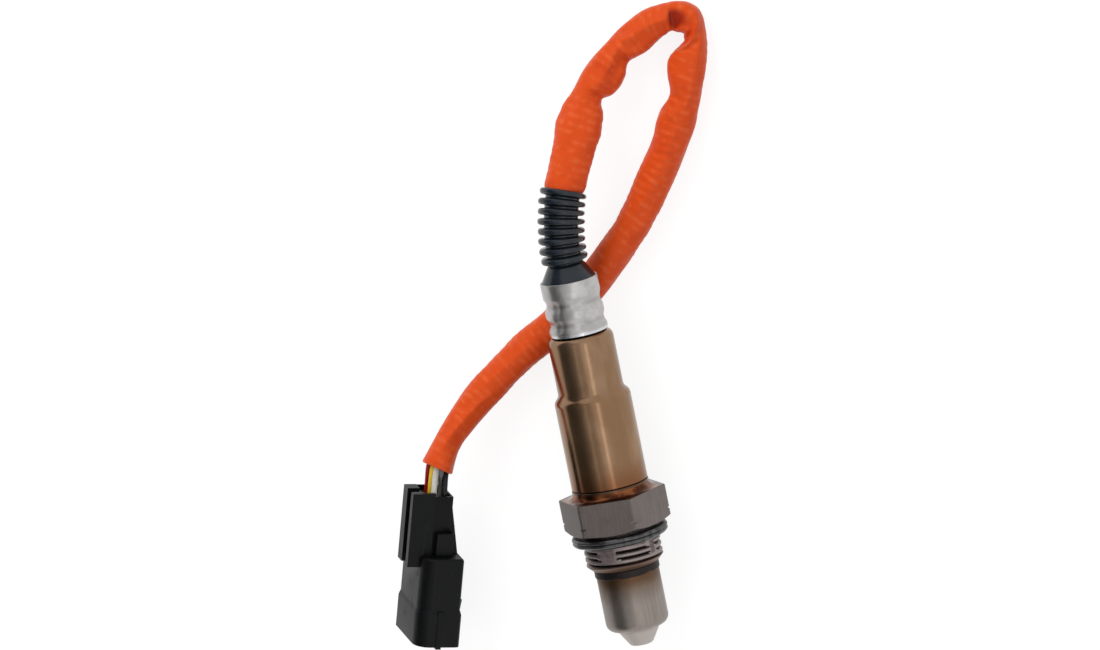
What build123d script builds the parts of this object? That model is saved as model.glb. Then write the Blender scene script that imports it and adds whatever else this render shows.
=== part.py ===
from build123d import *

import os
from math import atan, cos, degrees, radians, sin, sqrt, tan

# Wideband oxygen sensor, M18 x 1.5, with a short sleeved cable and a five-way plug.
# Lengths are in millimetres and angles in degrees. The sensor lies on a table, Z up, with its axis
# along Y and its cable end towards +Y. Stations are measured along the sensor's axis from the seat
# face of the hexagon: positive towards the cable, negative towards the gas.

# Fits
fit = 0.05  # radial gap between rigid pieces that slide into each other
butt = 0.1  # gap between faces that stand against each other
bore_fit = 0.1  # gap round the ceramic strip in its bushes

# How the sensor lies
lean = 4.4  # the cable end stands higher

# Hexagon and thread
hex_flats = 22.0
hex_height = 8.05
hex_chamfer_radius = 10.9
hex_chamfer_height = 0.8
hex_groove_station = 2.4
hex_groove_width = 0.5
hex_groove_depth = 0.5
collar_round = 1.6
collar_radius = 9.0
collar_lip = 0.4
thread_radius = 9.0
thread_end = 8.0
thread_chamfer = 1.2
relief_radius = 8.2
relief_slope = 0.5  # length of the thread's start over its height
boss_radius = 6.65
boss_length = 1.9
spigot_length = 3.0

# Gasket ring, folded from sheet
gasket_radius = 11.35
gasket_thickness = 2.1
gasket_play = 0.15  # round the thread
gasket_fold_gap = 0.5
gasket_wall = 0.95  # at the fold
gasket_station = 1.8

# Protection tubes
outer_tube_radius = 7.35
outer_tube_wall = 0.5
outer_tube_end = 24.3
outer_tube_round = 2.0
weld_band_radius = 7.6
weld_band_length = 1.6
weld_band_foot = 0.2
weld_band_round = 0.2
inner_tube_radius = 5.05
inner_tube_wall = 0.4
inner_tube_top = 6.1
nose_tip = 28.35
nose_radius = 2.6
nose_round = 0.9
nose_bore_round = 0.2
cone_round = 0.3
outlet_radius = 0.9
inlet_radius = 0.5
inlet_count = 6
inlet_drop = 0.75
inlet_turn = 12.0

# Ceramic strip and its seal
strip_width = 4.0
strip_thickness = 1.3
strip_start = 24.5
strip_end = 38.5
seal_bore_radius = 4.65
seal_ledge = 4.0
seal_ledge_radius = 3.4
lower_bush_length = 4.6
talc_length = 3.2
upper_bush_length = 4.2

# Shell
shell_radius = 8.9
shell_wall = 0.6
shell_gap = 0.35  # above the collar
shell_step_start = 31.05
shell_step_length = 1.3
shell_step_round = 1.8
upper_shell_radius = 7.65
shell_shoulder = 46.3
shell_shoulder_round = 2.0
neck_radius = 5.25
neck_wall = 0.55
neck_end = 58.0
neck_foot_round = 0.4

# Clamp sleeve
clamp_start = 46.45
clamp_end = 59.1
clamp_wall = 0.4
clamp_radius = 6.7
clamp_bulge_radius = 6.82
clamp_groove_radius = 6.3
clamp_bead_length = 1.15
clamp_slope = 1.2
clamp_groove_width = 0.75
clamp_bulge_width = 1.5

# Boot
boot_skirt_start = 48.5
boot_skirt_radius = 5.82
boot_cone_start_round = 0.3
boot_cone_end = 62.3
boot_cone_end_round = 1.2
boot_neck_radius = 4.4
bellows_start = 63.3
bellows_length = 16.2
bellows_bend = 24.0
bellows_roll = -42.0
bellows_radius = 3.95
bellows_bore_radius = 3.0
ring_radius = 5.45
ring_thickness = 1.3
ring_count = 8
mouth_depth = 1.0

# Cable seal, contact holder and contacts
cable_seal_start = 46.6
cable_seal_length = 10.8
cable_seal_rib = 0.25
cable_seal_groove = 1.4
wire_circle = 1.9
wire_angles = (30.0, 90.0, 150.0, 234.0, 306.0)
wire_radius = 0.7
wire_bend_share = 0.85  # of the bellows' own bend radius
holder_radius = 5.2
holder_start = 33.4
holder_length = 9.8
holder_window = 5.8
clip_start = 33.9
clip_length = 7.6
clip_width = 1.0
clip_thickness = 0.3
clip_lift = 0.05
barrel_radius = 0.9
barrel_wall = 0.15
barrel_floor = 0.4
barrel_length = 2.8
spring_thickness = 0.35
spring_start = 36.0
spring_length = 5.0
spring_gap = 40.0

# Heat sleeve
sleeve_radius = 4.2
sleeve_hollow_radius = 3.4
sleeve_hollow_depth = 4.0
sleeve_exit = 6.6  # first straight run out of the boot
sleeve_route = (  # between the boot and the plug
    (8.8, 69.2, 11.2),
    (13.4, 77.2, 8.4),
    (20, 83.2, 6.1),
    (27.4, 87.4, 4.8),
    (34.2, 87.4, 4.25),
    (37.7, 83, 4.25),
    (36.2, 76.4, 4.25),
    (32.8, 69.2, 4.25),
    (28.8, 61, 4.25),
    (24, 53, 4.25),
    (17.6, 45, 4.25),
    (8.6, 35.4, 4.25),
    (-3, 24.4, 4.25),
    (-14.6, 17.4, 4.25),
    (-24.6, 10.4, 5.8),
    (-31.7, 3.7, 9.9),
    (-36.1, -1, 13.1),
    (-39, -5.5, 14.3),
)

# Plug
plug_mouth_x = -49.6
plug_mouth_y = -44.8
plug_yaw = 17.0
plug_pitch = 6.5
plug_roll = 27.7
shroud_width = 9.9
shroud_depth = 17.4
shroud_length = 21.2
shroud_round = 1.2
shroud_front_round = 3.6  # at the front left edge
shroud_top_round = 0.8
shroud_wall = 1.2
rim_flare = 0.35
rim_length = 8.6
rim_fade = 1.0  # length over which the flare dies out
socket_depth = 16.0
socket_floor = 1.5
plug_length = 35.1
body_left = 5.0
body_right = 2.05
body_front = 4.4
body_back = 5.5
rail_reach = 7.85
rail_foot = 18.3
rail_top = 35.95
front_rail_face = 5.0
front_rail_thickness = 1.8
front_rail_width = 5.5
back_rail_face = 0.2
back_rail_thickness = 3.2
pocket_depth = 1.0  # in the cable end, where the wires go in
pocket_wall = 0.4
gusset_height = 12.4
gusset_thickness = 1.2
gusset_y = 3.0
ramp_start = 8.9
ramp_length = 2.1
ramp_height = 0.5
ramp_width = 3.2
ramp_y = 5.4
key_width = 1.2
key_height = 0.3
key_reach = 0.4

# Terminals, their seals and their lock
column_middle = 1.05
column_pitch = 2.5
row_middle = 0.1
row_pitch = 2.7
cavity_width = 2.2
seal_bore = 2.2
seal_length = 4.4
terminal_box = 2.0
terminal_box_length = 7.6
blade_width = 1.5
blade_thickness = 0.8
blade_tip = 6.0
crimp_length = 4.2
lock_left = 1.5
lock_right = 2.55
lock_face = 6.0
lock_back = 3.85
lock_foot = 21.3
lock_height = 5.2
lock_leg_back = 3.7
wire_colours = ("black", "grey", "white", "yellow", "red")
wire_columns = (-1, -1, 1, 1, 1)
wire_rows = (1, 0, 1, 0, -1)
bundle_middle = -0.45
bundle_column = 0.95
bundle_row = 1.75
wire_straight_out = 0.8  # of the sleeve's end
wire_straight_in = 1.2  # before the plug's cable end

os.makedirs("parts", exist_ok=True)


def finish(piece, name):
    """Label a piece and write it."""
    piece.part.label = name
    export_step(piece.part, f"parts/{name}.step")


def bend_radii(points):
    """Radius at each corner: 0.45 of the shorter run over the tangent of half the turn."""
    points = [Vector(*point) for point in points]
    runs = [after - before for before, after in zip(points, points[1:])]
    return [
        0.45 * min(one.length, other.length) / tan(radians(one.get_angle(other) / 2))
        for one, other in zip(runs, runs[1:])
    ]


# The sensor's axis. It lies so that the gasket ring touches the table, with the middle of the
# sensor's length over the origin.
axis_dir = Vector(0, cos(radians(lean)), sin(radians(lean)))
up_dir = Vector(0, -sin(radians(lean)), cos(radians(lean)))
bend_dir = Vector(cos(radians(bellows_roll)), 0, 0) + up_dir * sin(radians(bellows_roll))
bend_radius = bellows_length / radians(bellows_bend)
mouth_dir = axis_dir * cos(radians(bellows_bend)) + bend_dir * sin(radians(bellows_bend))
mouth_from_seat = axis_dir * (bellows_start + bend_radius * sin(radians(bellows_bend)))
mouth_from_seat += bend_dir * (bend_radius * (1 - cos(radians(bellows_bend))))
boot_reach = mouth_from_seat.Y + ring_radius * sqrt(1 - mouth_dir.Y**2)
nose_reach = nose_tip * axis_dir.Y + nose_radius * axis_dir.Z
gasket_round = gasket_thickness / 2
seat_height = (gasket_radius - gasket_round) * up_dir.Z + gasket_round + gasket_station * axis_dir.Z
seat = Vector(0, (nose_reach - boot_reach) / 2, seat_height)
mouth = seat + mouth_from_seat
sensor_axis = Axis(seat, axis_dir)
section = Plane(origin=seat, x_dir=(1, 0, 0), z_dir=up_dir)  # local x is radius, y is station


def station(along):
    """Plane square to the axis; its normal points to the cable end and its y points up."""
    return Plane(origin=seat + axis_dir * along, x_dir=(-1, 0, 0), z_dir=axis_dir)


# Housing: hexagon, collar, thread and boss, bored through for the ceramic strip
hex_corner_radius = hex_flats / sqrt(3)
collar_top = hex_height + collar_round + collar_lip
skirt_radius = shell_radius - shell_wall - fit
boss_start = -thread_end - thread_chamfer
boss_end = boss_start - boss_length
relief_end = -gasket_station - gasket_round - butt

with BuildPart() as housing:
    with BuildSketch(station(0)):
        RegularPolygon(radius=hex_flats / 2, side_count=6, major_radius=False)
    extrude(amount=hex_height)
    with BuildSketch(section):
        with BuildLine():
            Polyline(
                (0, 0),
                (hex_chamfer_radius, 0),
                (hex_corner_radius + fit, hex_chamfer_height),
                (hex_corner_radius + fit, hex_height),
                (0, hex_height),
                close=True,
            )
        make_face()
    revolve(axis=sensor_axis, mode=Mode.INTERSECT)
    with BuildSketch(section):
        with Locations((hex_corner_radius, hex_groove_station)):
            Rectangle(2 * hex_groove_depth, hex_groove_width)
    revolve(axis=sensor_axis, mode=Mode.SUBTRACT)
    with BuildSketch(section):
        with BuildLine():
            foot = (collar_radius + collar_round, hex_height)
            Polyline(foot, (0, hex_height), (0, collar_top + spigot_length))
            Polyline(
                (0, collar_top + spigot_length),
                (skirt_radius, collar_top + spigot_length),
                (skirt_radius, collar_top),
                (collar_radius, collar_top),
                (collar_radius, hex_height + collar_round),
            )
            CenterArc((foot[0], hex_height + collar_round), collar_round, 180, 90)
        make_face()
    revolve(axis=sensor_axis)
    with BuildSketch(section):
        with BuildLine():
            Polyline(
                (0, 0),
                (relief_radius, 0),
                (relief_radius, relief_end),
                (thread_radius, relief_end - relief_slope * (thread_radius - relief_radius)),
                (thread_radius, -thread_end),
                (thread_radius - thread_chamfer, boss_start),
                (boss_radius, boss_start),
                (boss_radius, boss_end),
                (0, boss_end),
                close=True,
            )
        make_face()
    revolve(axis=sensor_axis)
    with BuildSketch(section):
        with BuildLine():
            Polyline(
                (0, boss_end),
                (inner_tube_radius + fit, boss_end),
                (inner_tube_radius + fit, -inner_tube_top + butt),
                (seal_ledge_radius, -inner_tube_top + butt),
                (seal_ledge_radius, -seal_ledge),
                (seal_bore_radius, -seal_ledge),
                (seal_bore_radius, collar_top + spigot_length),
                (0, collar_top + spigot_length),
                close=True,
            )
        make_face()
    revolve(axis=sensor_axis, mode=Mode.SUBTRACT)
finish(housing, "housing")

# Gasket ring: sheet folded over, round outside and open inside
gasket_bore_radius = thread_radius + gasket_play
gasket_fold_radius = gasket_radius - gasket_wall
with BuildPart() as gasket_ring:
    with BuildSketch(section):
        with BuildLine():
            Polyline(
                (gasket_radius - gasket_round, -gasket_station - gasket_round),
                (gasket_bore_radius, -gasket_station - gasket_round),
                (gasket_bore_radius, -gasket_station - gasket_fold_gap / 2),
                (gasket_fold_radius, -gasket_station - gasket_fold_gap / 2),
                (gasket_fold_radius, -gasket_station + gasket_fold_gap / 2),
                (gasket_bore_radius, -gasket_station + gasket_fold_gap / 2),
                (gasket_bore_radius, -gasket_station + gasket_round),
                (gasket_radius - gasket_round, -gasket_station + gasket_round),
            )
            CenterArc((gasket_radius - gasket_round, -gasket_station), gasket_round, -90, 180)
        make_face()
    revolve(axis=sensor_axis)
finish(gasket_ring, "gasket_ring")

# Outer protection tube: a drawn cap whose upper band is welded round the boss
band_top = boss_start - butt
band_foot = band_top - weld_band_length
bore_of_tube = outer_tube_radius - outer_tube_wall
foot_width = outer_tube_radius - inner_tube_radius - fit
foot_round = min(outer_tube_round, foot_width - butt)
with BuildPart() as outer_protection_tube:
    with BuildSketch(section):
        with BuildLine():
            FilletPolyline(
                (boss_radius + fit, band_top),
                (weld_band_radius, band_top),
                (weld_band_radius, band_foot),
                (outer_tube_radius, band_foot - weld_band_foot),
                (outer_tube_radius, -outer_tube_end),
                (inner_tube_radius + fit, -outer_tube_end),
                (inner_tube_radius + fit, outer_tube_wall - outer_tube_end),
                (bore_of_tube, outer_tube_wall - outer_tube_end),
                (bore_of_tube, boss_end - butt),
                (boss_radius + fit, boss_end - butt),
                radius=(
                    0,
                    weld_band_round,
                    weld_band_round,
                    0,
                    foot_round,
                    0,
                    0,
                    foot_round - outer_tube_wall,
                    0,
                    0,
                ),
                close=True,
            )
        make_face()
    revolve(axis=sensor_axis)
finish(outer_protection_tube, "outer_protection_tube")

# Inner protection tube: its cone stands out of the outer tube, with gas inlets and one outlet
cone_start = -outer_tube_end - butt
with BuildPart() as inner_protection_tube:
    with BuildSketch(section):
        with BuildLine():
            FilletPolyline(
                (inner_tube_radius, -inner_tube_top),
                (inner_tube_radius, cone_start),
                (nose_radius, -nose_tip),
                (outlet_radius, -nose_tip),
                (outlet_radius, inner_tube_wall - nose_tip),
                (nose_radius - inner_tube_wall, inner_tube_wall - nose_tip),
                (inner_tube_radius - inner_tube_wall, cone_start + inner_tube_wall / 2),
                (inner_tube_radius - inner_tube_wall, -inner_tube_top),
                radius=(0, cone_round, nose_round, 0, 0, nose_bore_round, 0, 0),
                close=True,
            )
        make_face()
    revolve(axis=sensor_axis)
    for turn in range(inlet_count):
        inlet_plane = station(cone_start - inlet_drop).rotated((0, 0, inlet_turn + turn * 360 / inlet_count))
        with BuildSketch(Plane(origin=inlet_plane.origin, x_dir=inlet_plane.z_dir, z_dir=inlet_plane.x_dir)):
            Circle(inlet_radius)
        extrude(amount=inner_tube_radius, mode=Mode.SUBTRACT)
finish(inner_protection_tube, "inner_protection_tube")

# Ceramic strip
with BuildPart() as sensor_element:
    with BuildSketch(station(-strip_start)):
        Rectangle(strip_width, strip_thickness)
    extrude(amount=strip_start + strip_end)
finish(sensor_element, "sensor_element")


def packed_ring(foot, length):
    """A disc of the seal's bore with the strip's slot through it."""
    with BuildPart() as ring:
        with BuildSketch(station(foot)):
            Circle(seal_bore_radius - fit)
            Rectangle(strip_width + 2 * bore_fit, strip_thickness + 2 * bore_fit, mode=Mode.SUBTRACT)
        extrude(amount=length)
    return ring


# Two ceramic bushes with the pressed talc between them
lower_bush_foot = -seal_ledge + fit
talc_foot = lower_bush_foot + lower_bush_length + fit
upper_bush_foot = talc_foot + talc_length + fit
finish(packed_ring(lower_bush_foot, lower_bush_length), "lower_ceramic_bush")
finish(packed_ring(talc_foot, talc_length), "talc_seal")
finish(packed_ring(upper_bush_foot, upper_bush_length), "upper_ceramic_bush")

# Shell: one stepped sleeve from the collar to the neck
shell_foot = collar_top + shell_gap
step_end = shell_step_start + shell_step_length
with BuildPart() as shell:
    with BuildSketch(section):
        with BuildLine():
            FilletPolyline(
                (shell_radius, shell_foot),
                (shell_radius, shell_step_start),
                (upper_shell_radius, step_end),
                (upper_shell_radius, shell_shoulder),
                (neck_radius, shell_shoulder),
                (neck_radius, neck_end),
                (neck_radius - neck_wall, neck_end),
                (neck_radius - neck_wall, shell_shoulder - shell_wall),
                (upper_shell_radius - shell_wall, shell_shoulder - shell_wall),
                (upper_shell_radius - shell_wall, step_end),
                (shell_radius - shell_wall, shell_step_start),
                (shell_radius - shell_wall, shell_foot),
                radius=(
                    0,
                    shell_step_round,
                    shell_step_round,
                    shell_shoulder_round,
                    neck_foot_round,
                    0,
                    0,
                    0,
                    shell_shoulder_round - shell_wall,
                    shell_step_round,
                    shell_step_round,
                    0,
                ),
                close=True,
            )
        make_face()
    revolve(axis=sensor_axis)
finish(shell, "shell")

# Clamp sleeve: one thin wall with a bead at its foot and two crimped grooves
first_groove = clamp_start + clamp_bead_length + clamp_slope
first_bulge = first_groove + clamp_groove_width + clamp_slope
second_groove = first_bulge + clamp_bulge_width + clamp_slope
plain_start = second_groove + clamp_groove_width + clamp_slope
clamp_outside = (
    (clamp_bulge_radius, clamp_start),
    (clamp_bulge_radius, clamp_start + clamp_bead_length),
    (clamp_groove_radius, first_groove),
    (clamp_groove_radius, first_groove + clamp_groove_width),
    (clamp_bulge_radius, first_bulge),
    (clamp_bulge_radius, first_bulge + clamp_bulge_width),
    (clamp_groove_radius, second_groove),
    (clamp_groove_radius, second_groove + clamp_groove_width),
    (clamp_radius, plain_start),
    (clamp_radius, clamp_end),
)
clamp_inside = [(radius - clamp_wall, along) for radius, along in reversed(clamp_outside)]
clamp_rounds = (0.35, 0.5, 0.7, 0.7, 0.7, 0.7, 0.7, 0.7, 0.8, 0.15)
with BuildPart() as clamp_sleeve:
    with BuildSketch(section):
        with BuildLine():
            FilletPolyline(
                *clamp_outside,
                *clamp_inside,
                radius=clamp_rounds + (0,) + clamp_rounds[-2:0:-1] + (0,),
                close=True,
            )
        make_face()
    revolve(axis=sensor_axis)
finish(clamp_sleeve, "clamp_sleeve")

# Cable seal: a rubber plug in the neck with a bore for each wire
with BuildPart() as cable_seal:
    with BuildSketch(station(cable_seal_start)):
        Circle(neck_radius - neck_wall - fit)
    extrude(amount=cable_seal_length)
    for third in (1, 2):
        with BuildSketch(station(cable_seal_start + cable_seal_length * third / 3 - cable_seal_groove / 2)):
            Circle(neck_radius)
            Circle(neck_radius - neck_wall - fit - cable_seal_rib, mode=Mode.SUBTRACT)
        extrude(amount=cable_seal_groove, mode=Mode.SUBTRACT)
    with BuildSketch(station(cable_seal_start)):
        for angle in wire_angles:
            with PolarLocations(wire_circle, 1, start_angle=angle):
                Circle(wire_radius + fit)
    extrude(amount=cable_seal_length, mode=Mode.SUBTRACT)
finish(cable_seal, "cable_seal")


def bent(share):
    """Plane square to the bellows at a share of its bend; its normal points to the mouth."""
    turn = radians(bellows_bend * share)
    forward = axis_dir * cos(turn) + bend_dir * sin(turn)
    side = bend_dir * cos(turn) - axis_dir * sin(turn)
    start = seat + axis_dir * bellows_start + bend_dir * bend_radius
    return Plane(origin=start - side * bend_radius, x_dir=side, z_dir=forward)


def ring_section(share):
    """Plane through the bellows' middle line; local x is radius and local y is along it."""
    here = bent(share)
    return Plane(origin=here.origin, x_dir=here.y_dir, z_dir=here.y_dir.cross(here.z_dir))


# Boot: a skirt held by the clamp, a cone and a bent bellows of round rings
bend_normal = bend_dir.cross(axis_dir)
bend_axis = Axis(seat + axis_dir * bellows_start + bend_dir * bend_radius, bend_normal * -1)
ring_round = ring_thickness / 2
ring_foot = (bellows_bore_radius + bellows_radius) / 2
end_share = ring_round / bellows_length
with BuildPart() as boot:
    with BuildSketch(section):
        with BuildLine():
            FilletPolyline(
                (neck_radius + fit, boot_skirt_start),
                (boot_skirt_radius, boot_skirt_start),
                (boot_skirt_radius, plain_start + clamp_wall),
                (clamp_radius - clamp_wall - fit, plain_start + 2 * clamp_wall),
                (clamp_radius - clamp_wall - fit, clamp_end + fit),
                (boot_neck_radius, boot_cone_end),
                (bellows_radius, bellows_start),
                (bellows_bore_radius, bellows_start),
                (bellows_bore_radius, boot_cone_end),
                (neck_radius + fit, neck_end + butt),
                radius=(0, 0, 0, 0, boot_cone_start_round, boot_cone_end_round, 0, 0, 0, 0),
                close=True,
            )
        make_face()
    revolve(axis=sensor_axis)
    with BuildSketch(bent(0)):
        Circle(bellows_radius)
    revolve(axis=bend_axis, revolution_arc=bellows_bend)
    for ring in range(ring_count):
        share = end_share + (1 - 2 * end_share) * ring / (ring_count - 1)
        with BuildSketch(ring_section(share)):
            with BuildLine():
                Polyline(
                    (ring_radius - ring_round, ring_round),
                    (ring_foot, ring_round),
                    (ring_foot, -ring_round),
                    (ring_radius - ring_round, -ring_round),
                )
                CenterArc((ring_radius - ring_round, 0), ring_round, -90, 180)
            make_face()
        revolve(axis=Axis(bent(share).origin, bent(share).z_dir))
    with BuildSketch(bent(0)):
        Circle(bellows_bore_radius)
    revolve(axis=bend_axis, revolution_arc=bellows_bend, mode=Mode.SUBTRACT)
    with BuildSketch(bent(1).offset(ring_round)):
        Circle(sleeve_radius + fit)
    extrude(amount=-mouth_depth - ring_round, mode=Mode.SUBTRACT)
finish(boot, "boot")

# Contact holder: a ceramic block with a window for the strip's end and the contacts
with BuildPart() as contact_holder:
    with BuildSketch(station(holder_start)):
        Circle(holder_radius)
        Rectangle(holder_window, holder_window, mode=Mode.SUBTRACT)
    extrude(amount=holder_length)
finish(contact_holder, "contact_holder")

# Spring ring that centres the holder in the shell
with BuildPart() as holder_spring:
    with BuildSketch(section):
        with BuildLine():
            spring_inner = holder_radius + fit
            spring_outer = upper_shell_radius - shell_wall - fit
            spring_top = spring_start + spring_length
            Polyline(
                (spring_inner, spring_start),
                (spring_inner + spring_thickness, spring_start),
                (spring_inner + spring_thickness, spring_top - spring_thickness),
                (spring_outer, spring_top - spring_thickness),
                (spring_outer, spring_top),
                (spring_inner, spring_top),
                close=True,
            )
        make_face()
    revolve(axis=sensor_axis, revolution_arc=360 - spring_gap)
finish(holder_spring, "holder_spring")

# Contact clips: a strip that bears on the ceramic, with a barrel round the wire's end
clip_top = clip_start + clip_length
barrel_top = clip_top + barrel_length
wire_start = clip_top + barrel_floor + fit
for number, angle in enumerate(wire_angles, 1):
    clip_x = wire_circle * cos(radians(angle))
    wire_y = wire_circle * sin(radians(angle))
    clip_side = 1 if wire_y > 0 else -1
    clip_y = clip_side * (strip_thickness / 2 + clip_lift + clip_thickness / 2)
    with BuildPart() as contact_clip:
        with BuildSketch(station(clip_start)):
            with Locations((clip_x, clip_y)):
                Rectangle(clip_width, clip_thickness)
        extrude(amount=clip_length + barrel_floor / 2)
        with BuildSketch(station(clip_top)):
            with PolarLocations(wire_circle, 1, start_angle=angle):
                Circle(barrel_radius)
        extrude(amount=barrel_length)
        with BuildSketch(station(clip_top + barrel_floor)):
            with PolarLocations(wire_circle, 1, start_angle=angle):
                Circle(barrel_radius - barrel_wall)
        extrude(amount=barrel_length, mode=Mode.SUBTRACT)
        with BuildSketch(station(clip_top)):
            with Locations((clip_x, (clip_y + wire_y) / 2)):
                Rectangle(clip_width, abs(wire_y - clip_y))
        extrude(amount=barrel_floor)
    finish(contact_clip, f"contact_clip_{number}")

# Heat sleeve: laid from the boot's mouth, under the clamp and on to the plug
sleeve_start = mouth - mouth_dir * (mouth_depth - fit)
route = [tuple(sleeve_start), tuple(mouth + mouth_dir * sleeve_exit), *sleeve_route]
route_radii = bend_radii(route)
with BuildPart() as heat_sleeve:
    with BuildLine() as sleeve_path:
        FilletPolyline(*route, radius=route_radii)
    with BuildSketch(Plane(origin=sleeve_path.line @ 0, z_dir=sleeve_path.line % 0)):
        Circle(sleeve_radius)
    sweep(path=sleeve_path.line)
    with BuildSketch(Plane(origin=sleeve_path.line @ 1, z_dir=sleeve_path.line % 1)):
        Circle(sleeve_hollow_radius)
    extrude(amount=-sleeve_hollow_depth, mode=Mode.SUBTRACT)
finish(heat_sleeve, "heat_sleeve")
print("sleeve length", round(sum(edge.length for edge in sleeve_path.edges()), 1))
print("sleeve radii", [round(radius, 1) for radius in route_radii])

# The plug's own frame: origin at the middle of its mouth, z to the cable, y out of its front and
# x out of its left side. It stands on one long edge of its rim, held there by the cable.
plug_dir = Vector(sin(radians(plug_yaw)), cos(radians(plug_yaw)), tan(radians(plug_pitch))).normalized()
plug_level = Vector(-cos(radians(plug_yaw)), sin(radians(plug_yaw)), 0)
plug_up = plug_dir.cross(plug_level)
plug_left = plug_level * cos(radians(plug_roll)) + plug_up * sin(radians(plug_roll))
plug_front = plug_up * cos(radians(plug_roll)) - plug_level * sin(radians(plug_roll))
rim_left = shroud_width / 2 + rim_flare
rim_front = shroud_depth / 2 + rim_flare
plug_height = (rim_left - shroud_round) * plug_left.Z + (rim_front - shroud_round) * plug_front.Z
plug_height += shroud_round * sqrt(plug_left.Z**2 + plug_front.Z**2)
plug_mouth = Vector(plug_mouth_x, plug_mouth_y, plug_height)


def across(along):
    """Plane square to the plug's length, at a distance from its mouth."""
    return Plane(origin=plug_mouth + plug_dir * along, x_dir=plug_left, z_dir=plug_dir)


def in_plug(left, front, along):
    """A point given in the plug's own frame."""
    return plug_mouth + plug_left * left + plug_front * front + plug_dir * along


columns = [column_middle + side * column_pitch / 2 for side in wire_columns]
rows = [row_middle + side * row_pitch for side in wire_rows]
all_places = [
    (column_middle + side * column_pitch / 2, row_middle + row * row_pitch)
    for side in (-1, 1)
    for row in (-1, 0, 1)
]
places = list(zip(columns, rows))
floor_top = socket_depth + socket_floor
pocket_floor = plug_length - pocket_depth
seal_foot = pocket_floor - seal_length - butt


def shroud_outline(width, depth, corner, front_corner):
    """Draw a rectangle whose front left corner has its own round."""
    Rectangle(width, depth)
    diagonal = Axis((0, 0, 0), (1, 1, 0))
    fillet(vertices().sort_by(diagonal)[:-1], corner)
    fillet(vertices().sort_by(diagonal)[-1], front_corner)


# Plug housing: a shroud with a flared rim, a body with six cavities and two clip rails
with BuildPart() as connector_housing:
    with BuildSketch(across(0)):
        shroud_outline(shroud_width, shroud_depth, shroud_round, shroud_front_round)
    extrude(amount=shroud_length)
    fillet(faces().sort_by(Axis(plug_mouth, plug_dir))[-1].edges(), shroud_top_round)
    with BuildSketch(across(0)):
        shroud_outline(2 * rim_left, 2 * rim_front, shroud_round, shroud_front_round)
    extrude(amount=rim_length - rim_fade)
    with BuildSketch(across(rim_length - rim_fade)):
        shroud_outline(2 * rim_left, 2 * rim_front, shroud_round, shroud_front_round)
    extrude(amount=rim_fade, taper=degrees(atan(rim_flare / rim_fade)))
    with BuildSketch(across(socket_depth)):
        with Locations(((body_left - body_right) / 2, (body_front - body_back) / 2)):
            Rectangle(body_left + body_right, body_front + body_back)
    extrude(amount=plug_length - socket_depth)
    with BuildSketch(across(rail_foot)):
        with Locations((rail_reach - front_rail_width / 2, front_rail_face - front_rail_thickness / 2)):
            Rectangle(front_rail_width, front_rail_thickness)
        with Locations(((rail_reach + body_left - fit) / 2, back_rail_face - back_rail_thickness / 2)):
            Rectangle(rail_reach - body_left + fit, back_rail_thickness)
    extrude(amount=rail_top - rail_foot)
    gusset_foot = in_plug(0, gusset_y - gusset_thickness / 2, shroud_length)
    gusset_plane = Plane(origin=gusset_foot, x_dir=plug_left * -1, z_dir=plug_front)
    with BuildSketch(gusset_plane):
        with BuildLine():
            Polyline(
                (body_right, -shroud_top_round),
                (shroud_width / 2 - shroud_top_round / 2, -shroud_top_round),
                (body_right, gusset_height),
                close=True,
            )
        make_face()
    extrude(amount=gusset_thickness)
    ramp_foot = in_plug(0, ramp_y - ramp_width / 2, ramp_start)
    ramp_plane = Plane(origin=ramp_foot, x_dir=plug_left * -1, z_dir=plug_front)
    with BuildSketch(ramp_plane):
        with BuildLine():
            Polyline(
                (shroud_width / 2 - ramp_height, 0),
                (shroud_width / 2 + ramp_height / 2, 0),
                (shroud_width / 2 + ramp_height, ramp_length),
                (shroud_width / 2 - ramp_height, ramp_length),
                close=True,
            )
        make_face()
    extrude(amount=ramp_width)
    with BuildSketch(across(-key_reach)):
        with Locations((0, rim_front - shroud_wall / 2 + key_height / 2)):
            Rectangle(key_width, shroud_wall + key_height)
    extrude(amount=rim_length + key_reach)
    with BuildSketch(across(0)):
        shroud_outline(
            shroud_width - 2 * shroud_wall,
            shroud_depth - 2 * shroud_wall,
            shroud_round / 2,
            shroud_front_round - shroud_wall,
        )
    extrude(amount=socket_depth, mode=Mode.SUBTRACT)
    with BuildSketch(across(socket_depth)):
        with Locations(*all_places):
            Rectangle(blade_thickness + 2 * fit, blade_width + 2 * fit)
    extrude(amount=socket_floor, mode=Mode.SUBTRACT)
    with BuildSketch(across(floor_top)):
        with Locations(*all_places):
            Rectangle(cavity_width, cavity_width)
    extrude(amount=seal_foot - floor_top, mode=Mode.SUBTRACT)
    with BuildSketch(across(seal_foot)):
        with Locations(*all_places):
            Circle(seal_bore / 2)
    extrude(amount=pocket_floor - seal_foot, mode=Mode.SUBTRACT)
    with BuildSketch(across(pocket_floor)):
        with Locations(((body_left - body_right) / 2, (body_front - body_back) / 2)):
            Rectangle(
                body_left + body_right - 2 * pocket_wall,
                body_front + body_back - 2 * pocket_wall,
            )
    extrude(amount=rail_top - pocket_floor, mode=Mode.SUBTRACT)
    with BuildSketch(across(lock_foot - fit)):
        with Locations(((lock_left - lock_right) / 2, (lock_back + lock_face) / 2 - fit)):
            Rectangle(lock_left + lock_right + 2 * fit, lock_face - lock_back)
    extrude(amount=lock_height + 2 * fit, mode=Mode.SUBTRACT)
finish(connector_housing, "connector_housing")

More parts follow.
